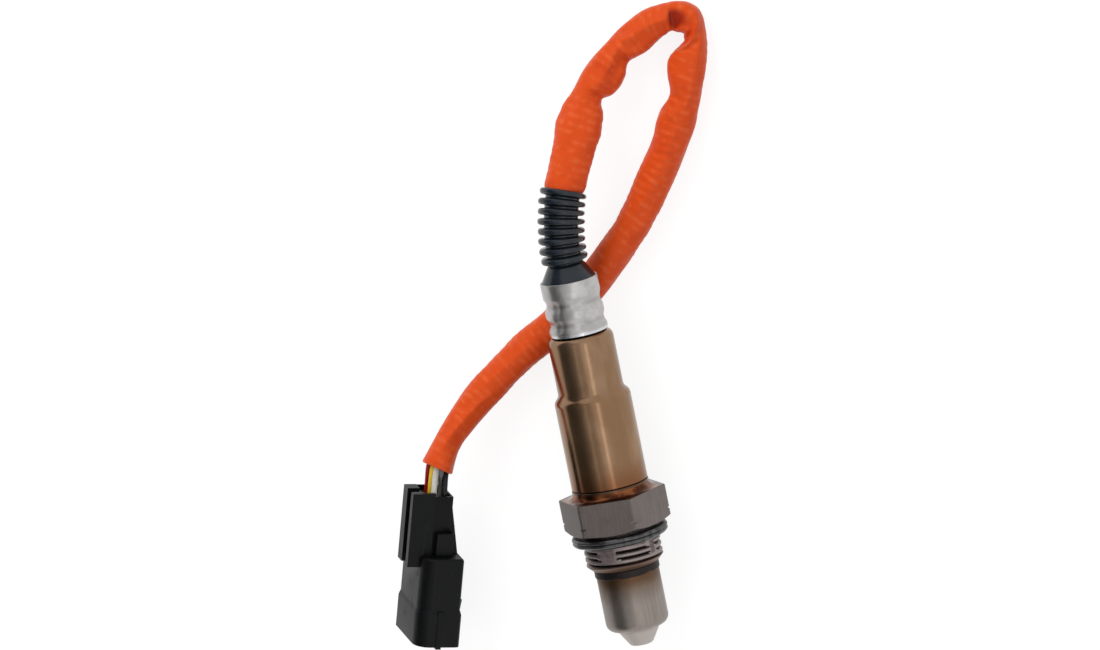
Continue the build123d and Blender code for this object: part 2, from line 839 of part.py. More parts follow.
# Terminal lock: a cap over the front row of terminals, with a leg round the body's right side
with BuildPart() as terminal_lock:
    with BuildSketch(across(lock_foot)):
        with Locations(((lock_left - lock_right) / 2, (lock_back + lock_face) / 2)):
            Rectangle(lock_left + lock_right, lock_face - lock_back)
        with Locations((-(lock_right + body_right + fit) / 2, (lock_leg_back + lock_face) / 2)):
            Rectangle(lock_right - body_right - fit, lock_face - lock_leg_back)
    extrude(amount=lock_height)
finish(terminal_lock, "terminal_lock")

# Terminals: blade, box and open barrel
box_foot = floor_top + butt
box_top = box_foot + terminal_box_length
crimp_top = box_top + crimp_length
for number, place in enumerate(places, 1):
    with BuildPart() as terminal:
        with BuildSketch(across(blade_tip)):
            with Locations(place):
                Rectangle(blade_thickness, blade_width)
        extrude(amount=box_foot + butt - blade_tip)
        with BuildSketch(across(box_foot)):
            with Locations(place):
                Rectangle(terminal_box, terminal_box)
        extrude(amount=terminal_box_length)
        with BuildSketch(across(box_top)):
            with Locations(place):
                Circle(terminal_box / 2)
        extrude(amount=crimp_length)
        with BuildSketch(across(box_top + butt)):
            with Locations(place):
                Circle(wire_radius + fit)
        extrude(amount=crimp_length, mode=Mode.SUBTRACT)
    finish(terminal, f"terminal_{number}")

# Single wire seals in the plug's cable end
for number, place in enumerate(places, 1):
    with BuildPart() as wire_seal:
        with BuildSketch(across(seal_foot + butt)):
            with Locations(place):
                Circle(seal_bore / 2 - fit)
                Circle(wire_radius + fit, mode=Mode.SUBTRACT)
        extrude(amount=seal_length - butt)
    finish(wire_seal, f"wire_seal_{number}")

# Wires. Each shows its two ends: from its clip through the cable seal and the boot, and from the
# heat sleeve's open end into the plug. Between them it runs inside the sleeve's solid.
sleeve_end = Plane(
    origin=sleeve_path.line @ 1,
    x_dir=plug_left - (sleeve_path.line % 1) * plug_left.dot(sleeve_path.line % 1),
    z_dir=(sleeve_path.line % 1) * -1,
)
bend_corner = bellows_start + bend_radius * tan(radians(bellows_bend / 2))
for colour, angle, place, column, row in zip(wire_colours, wire_angles, places, wire_columns, wire_rows):
    foot = station(wire_start).from_local_coords(
        (wire_circle * cos(radians(angle)), wire_circle * sin(radians(angle)), 0)
    )
    offset = Vector(*foot) - station(wire_start).origin
    toward_bend = offset.dot(bend_dir)
    sideways = offset - bend_dir * toward_bend
    corner = seat + axis_dir * (bend_corner - toward_bend * tan(radians(bellows_bend / 2))) + offset
    far = bent(1).origin + bent(1).x_dir * toward_bend + sideways - mouth_dir * mouth_depth
    bundle_left = bundle_middle + column * bundle_column
    bundle_front = row * bundle_row
    in_sleeve = sleeve_end.from_local_coords((bundle_left, bundle_front, sleeve_hollow_depth - fit))
    at_sleeve = sleeve_end.from_local_coords((bundle_left, bundle_front, -wire_straight_out))
    at_plug = in_plug(*place, plug_length + wire_straight_in)
    in_terminal = in_plug(*place, box_top + 2 * butt)
    plug_points = [tuple(in_sleeve), tuple(at_sleeve), tuple(at_plug), tuple(in_terminal)]
    with BuildPart() as wire:
        with BuildLine() as sensor_run:
            wire_bend = wire_bend_share * (bend_radius - toward_bend)
            FilletPolyline(tuple(foot), tuple(corner), tuple(far), radius=wire_bend)
        with BuildSketch(Plane(origin=sensor_run.line @ 0, z_dir=sensor_run.line % 0)):
            Circle(wire_radius)
        sweep(path=sensor_run.line)
        with BuildLine() as plug_run:
            FilletPolyline(*plug_points, radius=bend_radii(plug_points))
        with BuildSketch(Plane(origin=plug_run.line @ 0, z_dir=plug_run.line % 0)):
            Circle(wire_radius)
        sweep(path=plug_run.line)
    finish(wire, f"wire_{colour}")
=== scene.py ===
import math

import bmesh
import bpy
import numpy as np
from mathutils import Matrix, Vector


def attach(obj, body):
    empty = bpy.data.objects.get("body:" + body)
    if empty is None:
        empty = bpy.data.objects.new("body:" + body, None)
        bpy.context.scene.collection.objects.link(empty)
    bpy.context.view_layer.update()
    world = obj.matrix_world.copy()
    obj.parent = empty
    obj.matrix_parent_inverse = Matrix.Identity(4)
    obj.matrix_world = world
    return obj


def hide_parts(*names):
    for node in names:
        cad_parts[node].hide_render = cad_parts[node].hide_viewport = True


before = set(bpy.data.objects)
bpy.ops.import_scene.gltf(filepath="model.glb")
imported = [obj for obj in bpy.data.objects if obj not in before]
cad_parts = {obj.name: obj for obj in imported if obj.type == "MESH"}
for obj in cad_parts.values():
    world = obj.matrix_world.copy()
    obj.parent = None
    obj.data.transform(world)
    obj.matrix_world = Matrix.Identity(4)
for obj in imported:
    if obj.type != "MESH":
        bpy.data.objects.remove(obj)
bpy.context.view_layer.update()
scene = bpy.context.scene
scene.view_settings.view_transform = "Standard"
metre = 0.001  # lengths below are in millimetres

# The sensor's own frame: stations are measured from the hexagon's seat face, towards the cable
lean = math.radians(4.4)
seatPoint = np.array([0.0, -26.2412, 11.4577])
acrossDir = np.array([1.0, 0.0, 0.0])
axisDir = np.array([0.0, math.cos(lean), math.sin(lean)])
upDir = np.array([0.0, -math.sin(lean), math.cos(lean)])
bellows = {"start": 63.3, "length": 16.2, "bend": 24.0, "roll": -42.0}
bendDir = acrossDir * math.cos(math.radians(bellows["roll"])) + upDir * math.sin(math.radians(bellows["roll"]))
bendTurn = math.radians(bellows["bend"])
bendRadius = bellows["length"] / bendTurn


# Camera
cameraPlace = {
    "place": (387.10, 230.72, 1956.72),
    "back": (0.19755, 0.10444, 0.97471),
    "upright": (0.15927, 0.97768, -0.13704),
    "lens": 283.43,
    "sensor": 36.0,
    "clip": (0.1, 20),
}


def addObject(name, data):
    made = bpy.data.objects.new(name, data)
    scene.collection.objects.link(made)
    return made


def facing(place, back, upright):
    # Where a camera or lamp stands, in mm, and how it is turned: it looks away from its back.
    back = Vector(back).normalized()
    right = Vector(upright).cross(back).normalized()
    turn = Matrix((right, back.cross(right), back)).transposed().to_4x4()
    return Matrix.Translation(Vector(place) * metre) @ turn


def addCamera(setup):
    data = bpy.data.cameras.new("camera")
    data.lens = setup["lens"]
    data.sensor_width = setup["sensor"]
    data.clip_start, data.clip_end = setup["clip"]
    scene.camera = addObject("camera", data)
    scene.camera.matrix_world = facing(setup["place"], setup["back"], setup["upright"])


addCamera(cameraPlace)
print("camera placed")


# Shader maths as expressions: a Link is a node's output, or a tree to add nodes to
class Link:
    def __init__(self, tree, socket=None):
        self.tree = tree
        self.socket = socket

    def node(self, kind, settings=None, values=None, output=0):
        made = self.tree.nodes.new("ShaderNode" + kind)
        for key, value in (settings or {}).items():
            setattr(made, key, value)
        for key, value in (values or {}).items():
            if isinstance(value, Link):
                self.tree.links.new(value.socket, made.inputs[key])
            else:
                made.inputs[key].default_value = value
        return Link(self.tree, made.outputs[output])

    def maths(self, operation, *others):
        return self.node("Math", {"operation": operation}, dict(enumerate((self,) + others)))

    def __add__(self, other):
        return self.maths("ADD", other)

    def __mul__(self, other):
        return self.maths("MULTIPLY", other)

    def __sub__(self, other):
        return self.maths("SUBTRACT", other)

    def __rsub__(self, other):
        return self.node("Math", {"operation": "SUBTRACT"}, {0: other, 1: self})

    __radd__ = __add__
    __rmul__ = __mul__

    def __abs__(self):
        return self.maths("ABSOLUTE")

    def sine(self):
        return self.maths("SINE")

    def larger(self, other):
        return self.maths("MAXIMUM", other)

    def rise(self, low, high):  # 0 below low, 1 above high, smooth between
        values = {"Value": self, "From Min": low, "From Max": high}
        return self.node("MapRange", {"interpolation_type": "SMOOTHSTEP"}, values)

    def bump(self, near, far):  # 1 at near and 0 further than far from it, smooth between
        return 1 - abs(self - near).rise(0, far)

    def blend(self, first, second):  # from the first colour at 0 to the second at 1
        values = {0: self, 6: first, 7: second}  # the Mix node's factor and its two colours
        return self.node("Mix", {"data_type": "RGBA"}, values, output=2)

    def along(self, direction, start):  # distance in mm along a direction from a point in mm
        arrow = tuple(float(part) / metre for part in direction)
        dot = self.node("VectorMath", {"operation": "DOT_PRODUCT"}, {0: self, 1: arrow}, output="Value")
        return dot - float(np.dot(direction, start))

    def noise(self, scale, detail=3.0, stretch=(1, 1, 1), rough=0.5):  # scale per mm
        spread = self.node("VectorMath", {"operation": "MULTIPLY"}, {0: self, 1: tuple(stretch)})
        values = {"Vector": spread, "Scale": scale, "Detail": detail, "Roughness": rough}
        return spread.node("TexNoise", None, values)


def tone(red, green, blue):
    parts = [part / 255 for part in (red, green, blue)]
    return tuple(part / 12.92 if part <= 0.04045 else ((part + 0.055) / 1.055) ** 2.4 for part in parts) + (1.0,)


def tones(**paints):
    return {name: tone(*paint) for name, paint in paints.items()}


def sensorPlace(tree):  # the place in the sensor's own frame, and its station alone
    place = tree.node("TexCoord", output="Object")
    across, up, station = (place.along(direction, seatPoint) for direction in (acrossDir, upDir, axisDir))
    return tree.node("CombineXYZ", None, {0: across, 1: up, 2: station}), station


def objectPlace(tree):
    place = tree.node("TexCoord", output="Object")
    return tree.node("VectorMath", {"operation": "SCALE"}, {0: place, "Scale": 1 / metre})


def uneven(height, strength, distance):  # distance in mm
    return height.node("Bump", None, {"Strength": strength, "Distance": distance * metre, "Height": height})


def newMaterial(name, constants, look):
    made = bpy.data.materials.new(name)
    made.use_nodes = True
    shader = made.node_tree.nodes["Principled BSDF"]
    for socket, value in constants.items():
        shader.inputs[socket].default_value = value
    for socket, link in look(Link(made.node_tree)).items():
        made.node_tree.links.new(link.socket, shader.inputs[socket])
    return made


# Meshes worked out with numpy
def gridFaces(rows, columns, closedRows):
    # Cell (i, j) joins point (i, j) to (i, j + 1), (i + 1, j + 1) and (i + 1, j), wrapping where closed.
    row, column = np.meshgrid(np.arange(rows if closedRows else rows - 1), np.arange(columns), indexing="ij")
    row, column = row.ravel(), column.ravel()
    nextRow = (row + 1) % rows
    nextColumn = (column + 1) % columns
    corners = [row * columns + column, row * columns + nextColumn]
    corners += [nextRow * columns + nextColumn, nextRow * columns + column]
    u = np.stack([column, column + 1, column + 1, column], 1) / columns
    v = np.stack([row, row, row + 1, row + 1], 1)
    return np.stack(corners, 1), u, v


def signedVolume(points, faces):
    # Six times the volume: the sum over all triangles of a . (b x c).
    total = 0.0
    for first, second, third in ((0, 1, 2), (0, 2, 3)):
        if faces.shape[1] > third:
            a, b, c = points[faces[:, first]], points[faces[:, second]], points[faces[:, third]]
            total += np.einsum("ij,ij->i", a, np.cross(b, c)).sum()
    return total


def addSurface(name, grid, material, capped=False, sharp=35.0, rowValues=None):
    # Makes a grid of points (rows, columns, 3) one closed mesh: its rows join up, or end in fans.
    rows, columns = grid.shape[:2]
    faces, u, v = gridFaces(rows, columns, not capped)
    points = [grid.reshape(-1, 3)]
    fans = []
    for end in (0, 1) if capped else ():
        edge = np.arange(columns) + (rows - 1) * columns * end
        fan = np.stack([edge, np.roll(edge, -1), np.full(columns, rows * columns + end)], 1)
        fans.append(fan[:, ::-1] if end else fan)
        points.append(grid[-end].mean(axis=0)[None])
    points = np.concatenate(points)
    volume = sum(signedVolume(points - points.mean(axis=0), part) for part in (faces, *fans))
    if rowValues is not None:
        v = rowValues[v]
    if volume < 0:
        faces, u, v = faces[:, ::-1], u[:, ::-1], v[:, ::-1]
        fans = [fan[:, ::-1] for fan in fans]
    mesh = bpy.data.meshes.new(name)
    polygons = sum((part.tolist() for part in (faces, *fans)), [])
    mesh.from_pydata((points * metre).tolist(), [], polygons)
    uv = np.zeros((len(mesh.loops), 2))
    uv[: u.size] = np.stack([u.ravel(), v.ravel()], 1)
    mesh.uv_layers.new(name="surface").data.foreach_set("uv", uv.ravel())
    mesh.polygons.foreach_set("use_smooth", np.ones(len(polygons), bool))
    mesh.set_sharp_from_angle(angle=math.radians(sharp))
    mesh.validate()
    mesh.update()
    mesh.materials.append(material)
    return addObject(name, mesh)


def pointsOf(mesh):  # in mm
    flat = np.zeros(len(mesh.vertices) * 3)
    mesh.vertices.foreach_get("co", flat)
    return flat.reshape(-1, 3) / metre


def setPointValues(mesh, name, values):  # an attribute for the looks to read
    mesh.attributes.new(name, "FLOAT", "POINT").data.foreach_set("value", values.astype(np.float32))


def within(value, low, high, ease):
    # 1 between low and high, falling to 0 over the ease inside each end, and 0 beyond.
    return np.clip((value - low) / ease, 0, 1) * np.clip((high - value) / ease, 0, 1)


def roundCorners(corners, steps=5):
    # Replaces each corner (x, y, radius) by an arc that touches both of its sides.
    straight = 1.55  # from this half-angle on, in radians, the two sides are taken as one line
    points = np.array([corner[:2] for corner in corners], float)
    made = []
    for index, corner in enumerate(corners):
        here = points[index]
        before = points[index - 1] - here
        after = points[(index + 1) % len(points)] - here
        before /= np.linalg.norm(before)
        after /= np.linalg.norm(after)
        half = math.acos(np.clip(np.dot(before, after), -1, 1)) / 2
        if corner[2] <= 0 or half > straight:
            made.append(here[None])
            continue
        centre = here + (before + after) / np.linalg.norm(before + after) * corner[2] / math.sin(half)
        start = here + before * corner[2] / math.tan(half) - centre
        turn = np.linspace(0, math.pi - 2 * half, steps)[:, None]
        made.append(centre + start * np.cos(turn) - before * corner[2] * np.sin(turn))
    return np.concatenate(made)


def spine(along):
    # Points and frames of the sensor's middle line: straight, then the bellows' arc, then straight.
    turn = np.clip((along - bellows["start"]) / bendRadius, 0, bendTurn)[:, None]
    forward = axisDir * np.cos(turn) + bendDir * np.sin(turn)
    inward = bendDir * np.cos(turn) - axisDir * np.sin(turn)
    straight = np.minimum(along, bellows["start"])[:, None]
    beyond = np.maximum(along - bellows["start"] - bellows["length"], 0)[:, None]
    centre = seatPoint + axisDir * straight + (bendDir - inward) * bendRadius + forward * beyond
    up, across = (direction + (inward - bendDir) * np.dot(direction, bendDir) for direction in (upDir, acrossDir))
    return centre, up, across


def lathe(profile, columns, shape=None):
    # Each profile point (radius, station) runs round the middle line; shape may change the radius
    # by angle, which is measured from the upper side towards +X, and by station.
    angle = np.radians(np.arange(columns) * 360 / columns)
    centre, up, across = spine(profile[:, 1])
    radius = np.repeat(profile[:, :1], columns, axis=1)
    if shape:
        radius = shape(radius, profile[:, 1:2], angle[None])
    ring = up[:, None] * np.cos(angle)[None, :, None] + across[:, None] * np.sin(angle)[None, :, None]
    return centre[:, None] + ring * radius[..., None]


def standIn(piece, slot, *nodes):
    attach(piece, "root")
    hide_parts(*nodes)
    return piece


# The sleeved cable
sleeve = {
    "radius": 4.2,
    "floor": 0.05,
    "step": 0.3,
    "columns": 72,
    "hollowRadius": 3.3,
    "hollowDepth": 4.0,
    "ribPitch": 1.95,
    "ribHeight": 0.085,
    "diameter": 0.0084,
    "length": 0.1795,
}
cableRoute = [
    (2.19763, 51.8428, 15.4814),
    (4.47977, 58.8773, 13.9618),
    (8.8, 69.2, 11.2),
    (13.4, 77.2, 8.4),
    (20, 83.2, 6.1),
    (27.4, 87.4, 4.8),
    (34.2, 87.4, 4.25),
    (37.7, 83, 4.25),
    (36.2, 76.4, 4.25),
    (32.8, 69.2, 4.25),
    (28.8, 61, 4.25),
    (24, 53, 4.25),
    (17.6, 45, 4.25),
    (8.6, 35.4, 4.25),
    (-3, 24.4, 4.25),
    (-14.6, 17.4, 4.25),
    (-24.6, 10.4, 5.8),
    (-31.7, 3.7, 9.9),
    (-36.1, -1, 13.1),
    (-39, -5.5, 14.3),
]
# Half-widths in mm at distances along the cable, to the left and to the right of its run
sleeveWidths = np.array([
    (0, 4.2, 4.2), (0.9, 4.2, 4.2), (1.0, 4.6, 4.65), (2.6, 4.7, 4.85), (4.5, 4.4, 4.9), (6, 4.3, 5.05), (9, 4.3, 5.3),
    (12, 4.5, 5.5), (13.5, 4.75, 5.7), (15, 5.0, 6.0), (16.5, 5.1, 5.9), (18, 4.7, 5.55), (19.5, 4.65, 5.4),
    (21, 4.25, 4.9), (22.5, 3.7, 3.85), (23.5, 3.5, 3.45), (24.3, 3.4, 3.35), (25.2, 3.35, 4.3), (26, 3.35, 5.0),
    (27, 3.4, 5.35), (28.5, 3.4, 5.7), (30, 3.3, 5.85), (31.5, 3.15, 5.75), (33, 3.0, 5.55), (34.2, 2.9, 4.7),
    (35.2, 2.9, 4.2), (36.4, 2.85, 4.05), (37.5, 2.85, 4.4), (39, 2.8, 4.85), (40.5, 2.8, 5.15), (42, 2.8, 5.2),
    (43.5, 2.85, 5.1), (45, 2.9, 4.9), (46.5, 2.95, 4.7), (48, 2.95, 4.35), (49.5, 3.05, 4.1), (51, 3.4, 3.4),
    (52.5, 3.9, 3.35), (54, 4.35, 3.35), (55.5, 4.25, 3.0), (57, 3.25, 2.15), (58.5, 2.6, 2.5), (60, 2.5, 2.65),
    (61.5, 2.6, 3.7), (63, 2.7, 4.85), (64.5, 2.8, 5.65), (66, 2.9, 6.0), (67.5, 3.1, 5.85), (69, 3.2, 5.5),
    (70.5, 3.3, 5.0), (72, 3.4, 4.3), (73.5, 3.5, 3.75), (75, 3.6, 3.8), (76.5, 3.7, 4.4), (78, 3.8, 4.95),
    (81, 3.8, 5.0), (84, 3.75, 4.45), (87, 3.75, 4.45), (90, 3.85, 4.7), (93, 3.95, 4.7), (96, 4.0, 4.45),
    (99, 4.2, 4.0), (102, 4.2, 3.7), (105, 4.4, 3.65), (108, 4.35, 3.4), (111, 4.55, 3.55), (114, 4.5, 3.7),
    (117, 4.5, 3.5), (126, 4.2, 3.8), (138, 4.0, 3.75), (141, 4.2, 3.95), (144, 4.1, 4.0), (147, 3.95, 4.0),
    (150, 4.0, 3.85), (153, 4.0, 3.8), (156, 3.95, 3.9), (159, 3.8, 3.9), (162, 3.45, 3.95), (165, 3.2, 3.85),
    (168, 3.15, 3.7), (171, 3.05, 3.4), (174, 3.15, 3.15), (177, 3.6, 3.15), (179.3, 4.0, 3.35),
])
# Dents: distance along, angle round (0 right, 90 top, 180 left), depth, reach before, reach after,
# reach round and slant; a short reach makes a sharp edge
sleeveDents = (
    (24.4, 45, 0.9, 1.6, 0.5, 38, -0.01),
    (20.5, 120, 0.4, 2.5, 1.2, 30, 0.03),
    (36.2, 42, 1.0, 1.6, 0.6, 36, -0.015),
    (32.0, 60, 0.5, 3.0, 2.5, 22, 0.0),
    (51.4, 88, 2.1, 0.35, 4.6, 46, -0.004),
    (52.6, 48, 0.9, 0.9, 1.8, 34, 0.0),
    (58.6, 40, 1.0, 0.6, 1.3, 36, -0.02),
    (60.6, 35, 0.5, 1.0, 1.4, 35, -0.03),
    (66.0, 60, 0.5, 2.5, 2.0, 30, 0.0),
    (73.6, 50, 0.6, 1.6, 1.2, 30, 0.02),
    (77.0, 45, 0.45, 1.4, 0.8, 38, -0.02),
    (120.5, 80, 0.4, 2.0, 2.0, 40, 0.02),
    (139.0, 100, 0.4, 1.5, 2.2, 40, 0.02),
    (161.5, 140, 0.6, 2.6, 1.6, 34, -0.03),
    (165.5, 60, 0.3, 1.3, 1.3, 30, -0.02),
)
# Creases: start, end, angles there, height, reach round
sleeveCreases = (
    (10.0, 23.0, 116, 100, 0.35, 30),
    (25.5, 38.0, 76, 98, 0.7, 32),
    (37.5, 51.4, 106, 90, 0.85, 36),
    (52.5, 57.8, 30, 66, 0.7, 26),
    (55.0, 64.0, 158, 16, 1.0, 30),
    (61.0, 76.0, 138, 108, 0.3, 30),
    (75.2, 79.5, 24, 98, 0.5, 24),
    (80.0, 104.0, 104, 84, 0.25, 30),
    (142.0, 158.0, 92, 76, 0.3, 32),
    (157.0, 176.0, 120, 84, 0.4, 30),
)


def routeLine(name, points):
    # The smooth line of an order 3 NURBS spline that has the route's points as its control points.
    curve = bpy.data.curves.new(name, "CURVE")
    curve.dimensions = "3D"
    curve.resolution_u = 24
    spline = curve.splines.new("NURBS")
    spline.points.add(len(points) - 1)
    for point, place in zip(spline.points, points):
        point.co = (*(part * metre for part in place), 1)
    spline.order_u = 3
    spline.use_endpoint_u = True
    holder = addObject(name, curve)
    bpy.context.view_layer.update()
    line = bpy.data.meshes.new_from_object(holder)
    made = pointsOf(line)
    bpy.data.objects.remove(holder)
    bpy.data.curves.remove(curve)
    bpy.data.meshes.remove(line)
    return made


def evenly(line, step):
    # The same line at equal steps, with its distances.
    reach = np.concatenate([[0], np.cumsum(np.linalg.norm(np.diff(line, axis=0), axis=1))])
    count = max(int(reach[-1] / step), 8)
    along = np.linspace(0, reach[-1], count)
    return np.stack([np.interp(along, reach, line[:, part]) for part in range(3)], 1), along


def smoothed(values):
    for _ in range(3):
        values[1:-1] = (values[:-2] + 2 * values[1:-1] + values[2:]) / 4
    return values


def lineFrames(line):
    # Tangent, level right-hand side and upper side at each point of a line that is never upright.
    tangent = np.gradient(line, axis=0)
    tangent /= np.linalg.norm(tangent, axis=1)[:, None]
    side = np.cross(tangent, (0, 0, 1))
    side /= np.linalg.norm(side, axis=1)[:, None]
    return tangent, side, np.cross(side, tangent)


def sleeveRelief(along, turn):
    # Depth of the dents and height of the creases: a dent is a bell curve along and round, with its
    # own reach on either side; a crease is a sharp ridge with a shallow valley on either side, round
    # a line that runs slantwise along the sleeve.
    hollow = np.zeros((len(along), len(turn)))
    ridge = np.zeros_like(hollow)
    here = along[:, None]
    for start, centre, depth, before, after, spread, slant in sleeveDents:
        apart = (turn[None] - centre + 180) % 360 - 180
        reach = here - start - slant * apart
        reach = reach / np.where(reach < 0, before, after)
        hollow += depth * np.exp(-reach * reach - (apart / spread) ** 2)
    for start, end, first, last, height, spread in sleeveCreases:
        share = np.clip((here - start) / (end - start), 0, 1)
        apart = (turn[None] - first - (last - first) * share + 180) % 360 - 180
        reach = np.sqrt((apart / spread) ** 2 + 0.008)
        wedge = np.exp(-3 * reach) - 0.45 * np.exp(-3 * (reach - 1) ** 2)
        ridge += height * within(here, start, end, 1.5) * wedge
    return hollow, ridge


def sleeveGrid(setup, line, along):
    # The section at each distance is round, shifted and widened to its two half-widths, with ribs,
    # swellings, dents and creases added to its radius, and kept above the floor. The ribs are a sine
    # along the sleeve whose phase and strength wander; the swellings are slow sines along and round.
    _, side, top = lineFrames(line)
    left, right = (smoothed(np.interp(along, sleeveWidths[:, 0], sleeveWidths[:, hand])) for hand in (1, 2))
    middle = line + side * ((right - left) / 2)[:, None]
    width = ((left + right) / 2)[:, None]
    turn = np.arange(setup["columns"]) * 360 / setup["columns"]
    angle = np.radians(turn)[None]
    here = along[:, None]
    free = np.clip((here - 1.2) / 1.5, 0, 1)
    phase = here / setup["ribPitch"] + 0.22 * np.sin(2 * angle + here / 9) + 0.12 * np.sin(3 * angle - here / 5)
    strength = 0.45 + 0.55 * np.sin(here / 7.3 + 2 * np.sin(angle))
    swell = setup["ribHeight"] * strength * (0.4 + 0.6 * np.sin(angle) ** 2) * np.sin(2 * np.pi * phase)
    swell += 0.07 * np.sin(here / 3.1 + 2 * angle) + 0.07 * np.sin(here / 4.7 - 3 * angle + 1)
    swell += 0.05 * np.sin(here / 1.7 + 5 * angle + 2 * np.sin(here / 6))
    hollow, ridge = sleeveRelief(along, turn)
    height = np.minimum(width * 0.5 + setup["radius"] * 0.5, setup["radius"])
    level = np.cos(angle) * (width + (swell - hollow * 0.3) * free)
    rise = np.sin(angle) * (height + (swell - hollow + ridge) * free)
    grid = middle[:, None] + side[:, None] * level[..., None] + top[:, None] * rise[..., None]
    grid[..., 2] = np.maximum(grid[..., 2], setup["floor"])
    return grid, middle, hollow


def makeSleeve(setup, material):
    # The outer grid runs on over a half-round lip and into a hollow mouth at the plug's end.
    line, along = evenly(routeLine("cableRoute", cableRoute), setup["step"])
    outer, middle, hollow = sleeveGrid(setup, line, along)
    rim = outer[-1]
    centre = middle[-1]
    forward = line[-1] - line[-2]
    forward /= np.linalg.norm(forward)
    inner = setup["hollowRadius"] / setup["radius"]
    wall = (1 - inner) / 2
    lips = []
    for turn in np.radians((35, 70, 110, 145)):
        scale = 1 - wall + wall * math.cos(turn)
        lips.append(centre + (rim - centre) * scale + forward * wall * setup["radius"] * math.sin(turn))
    inside = [centre + (rim - centre) * inner - forward * back for back in np.arange(0, setup["hollowDepth"], 0.8)]
    inside += [centre + (rim - centre) * inner * 0.5 - forward * setup["hollowDepth"]]
    grid = np.concatenate([outer, np.array(lips), np.array(inside)])
    values = np.concatenate([along, along[-1] + np.arange(len(lips) + len(inside) + 1) * 0.5])
    piece = addSurface("orangeSleeve", grid, material, capped=True, sharp=60, rowValues=values)
    # The dents' depth, which the sleeve's look also paints as shade in the folds.
    depth = np.zeros(len(piece.data.vertices))
    depth[: hollow.size] = hollow.ravel()
    setPointValues(piece.data, "hollow", depth)
    return piece, line


orangeTones = tones(
    body=(224, 77, 12),
    # lighter tone: painted highlight on the rib crests, and random specks
    light=(242, 110, 56),
    deep=(196, 50, 4),
    # painted shade for the deep folds
    folded=(150, 30, 4),
)


def orangeLook(tree):
    uv = tree.node("UVMap", {"uv_map": "surface"})
    place = objectPlace(tree)
    around = tree.node("SeparateXYZ", None, {0: uv}, output="X")
    along = tree.node("SeparateXYZ", None, {0: uv}, output="Y")
    wobble = place.noise(0.35, 2.0) * 1.2
    rib = (along * (2 * math.pi / sleeve["ribPitch"]) + wobble + (around * (4 * math.pi)).sine() * 0.6).sine()
    patches = place.noise(0.16, 3.0)
    fine = place.noise(2.2, 4.0)
    # Painted highlight: the rib crests are painted lighter, in patches along the sleeve.
    bright = (rib * 0.5 + 0.5) * place.noise(0.5, 2.0).rise(0.4, 0.7)
    colour = (bright * 0.5).blend(orangeTones["body"], orangeTones["light"])
    colour = (patches.rise(0.5, 0.8) * 0.45).blend(colour, orangeTones["deep"])
    colour = (fine.rise(0.62, 0.8) * 0.25).blend(colour, orangeTones["light"])
    # Painted shade: the deeper a dent, the darker its colour, as if its fold lay in shadow.
    hollow = tree.node("Attribute", {"attribute_name": "hollow"}, output="Fac")
    colour = (hollow.rise(0.5, 1.8) * 0.9).blend(colour, orangeTones["folded"])
    rough = 0.42 + 0.16 * patches
    return {"Base Color": colour, "Roughness": rough, "Normal": uneven(fine + rib * 0.25, 0.35, 0.12)}


orangeCloth = {"Specular IOR Level": 0.25, "Sheen Weight": 0.2, "Sheen Roughness": 0.35}
orangeSleeve = newMaterial("orangeSleeve", orangeCloth, orangeLook)
sleevePiece, sleeveLine = makeSleeve(sleeve, orangeSleeve)
standIn(sleevePiece, "orange_sleeve", "heat_sleeve")
print("sleeve made")

# Wires: bare between the sleeve's end and the plug, and inside both
plugFrame = {
    "mouth": np.array([-49.6, -44.8, 9.99155]),
    "left": np.array([-0.862091, 0.208542, 0.461854]),
    "front": np.array([0.415226, -0.231757, 0.879702]),
    "along": np.array([0.290492, 0.950157, 0.113203]),
    "length": 35.1,
}
wires = {
    "radius": 0.7,
    "columns": 20,
    "column": 1.05,
    "columnPitch": 2.5,
    "row": 0.1,
    "rowPitch": 2.7,
    "inSleeve": 3.6,
    "outOfSleeve": 0.8,
    "beforePlug": 1.2,
    "atPlug": 0.6,
    "inPlug": 6.5,
    "step": 0.35,
}
# Column and row in the plug, place to the left and front in the bundle, and colour
wirePlaces = {
    "black": (-1, 1, -2.35, 1.15, (18, 19, 22)),
    "grey": (-1, 0, -0.95, 1.6, (112, 113, 112)),
    "white": (1, 1, 0.1, 1.2, (206, 204, 196)),
    "yellow": (1, 0, 0.75, 0.3, (222, 186, 40)),
    "red": (1, -1, 1.4, -1.0, (150, 20, 20)),
}


def inPlug(left, front, along):
    return plugFrame["mouth"] + plugFrame["left"] * left + plugFrame["front"] * front + plugFrame["along"] * along


def tubeGrid(line, radius, columns):
    # A round section carried along a line.
    _, side, top = lineFrames(line)
    angle = np.radians(np.arange(columns) * 360 / columns)[None, :, None]
    return line[:, None] + (side[:, None] * np.cos(angle) + top[:, None] * np.sin(angle)) * radius


def wireLook(paint):
    def look(tree):
        place = objectPlace(tree)
        streaks = place.noise(0.8, 3.0, (1, 0.25, 1))
        worn = (streaks.rise(0.45, 0.75) * 0.35).blend(tone(*paint), tone(*(part * 0.75 for part in paint)))
        return {"Base Color": worn, "Roughness": 0.3 + 0.2 * streaks, "Normal": uneven(place.noise(3.0), 0.15, 0.05)}

    return look


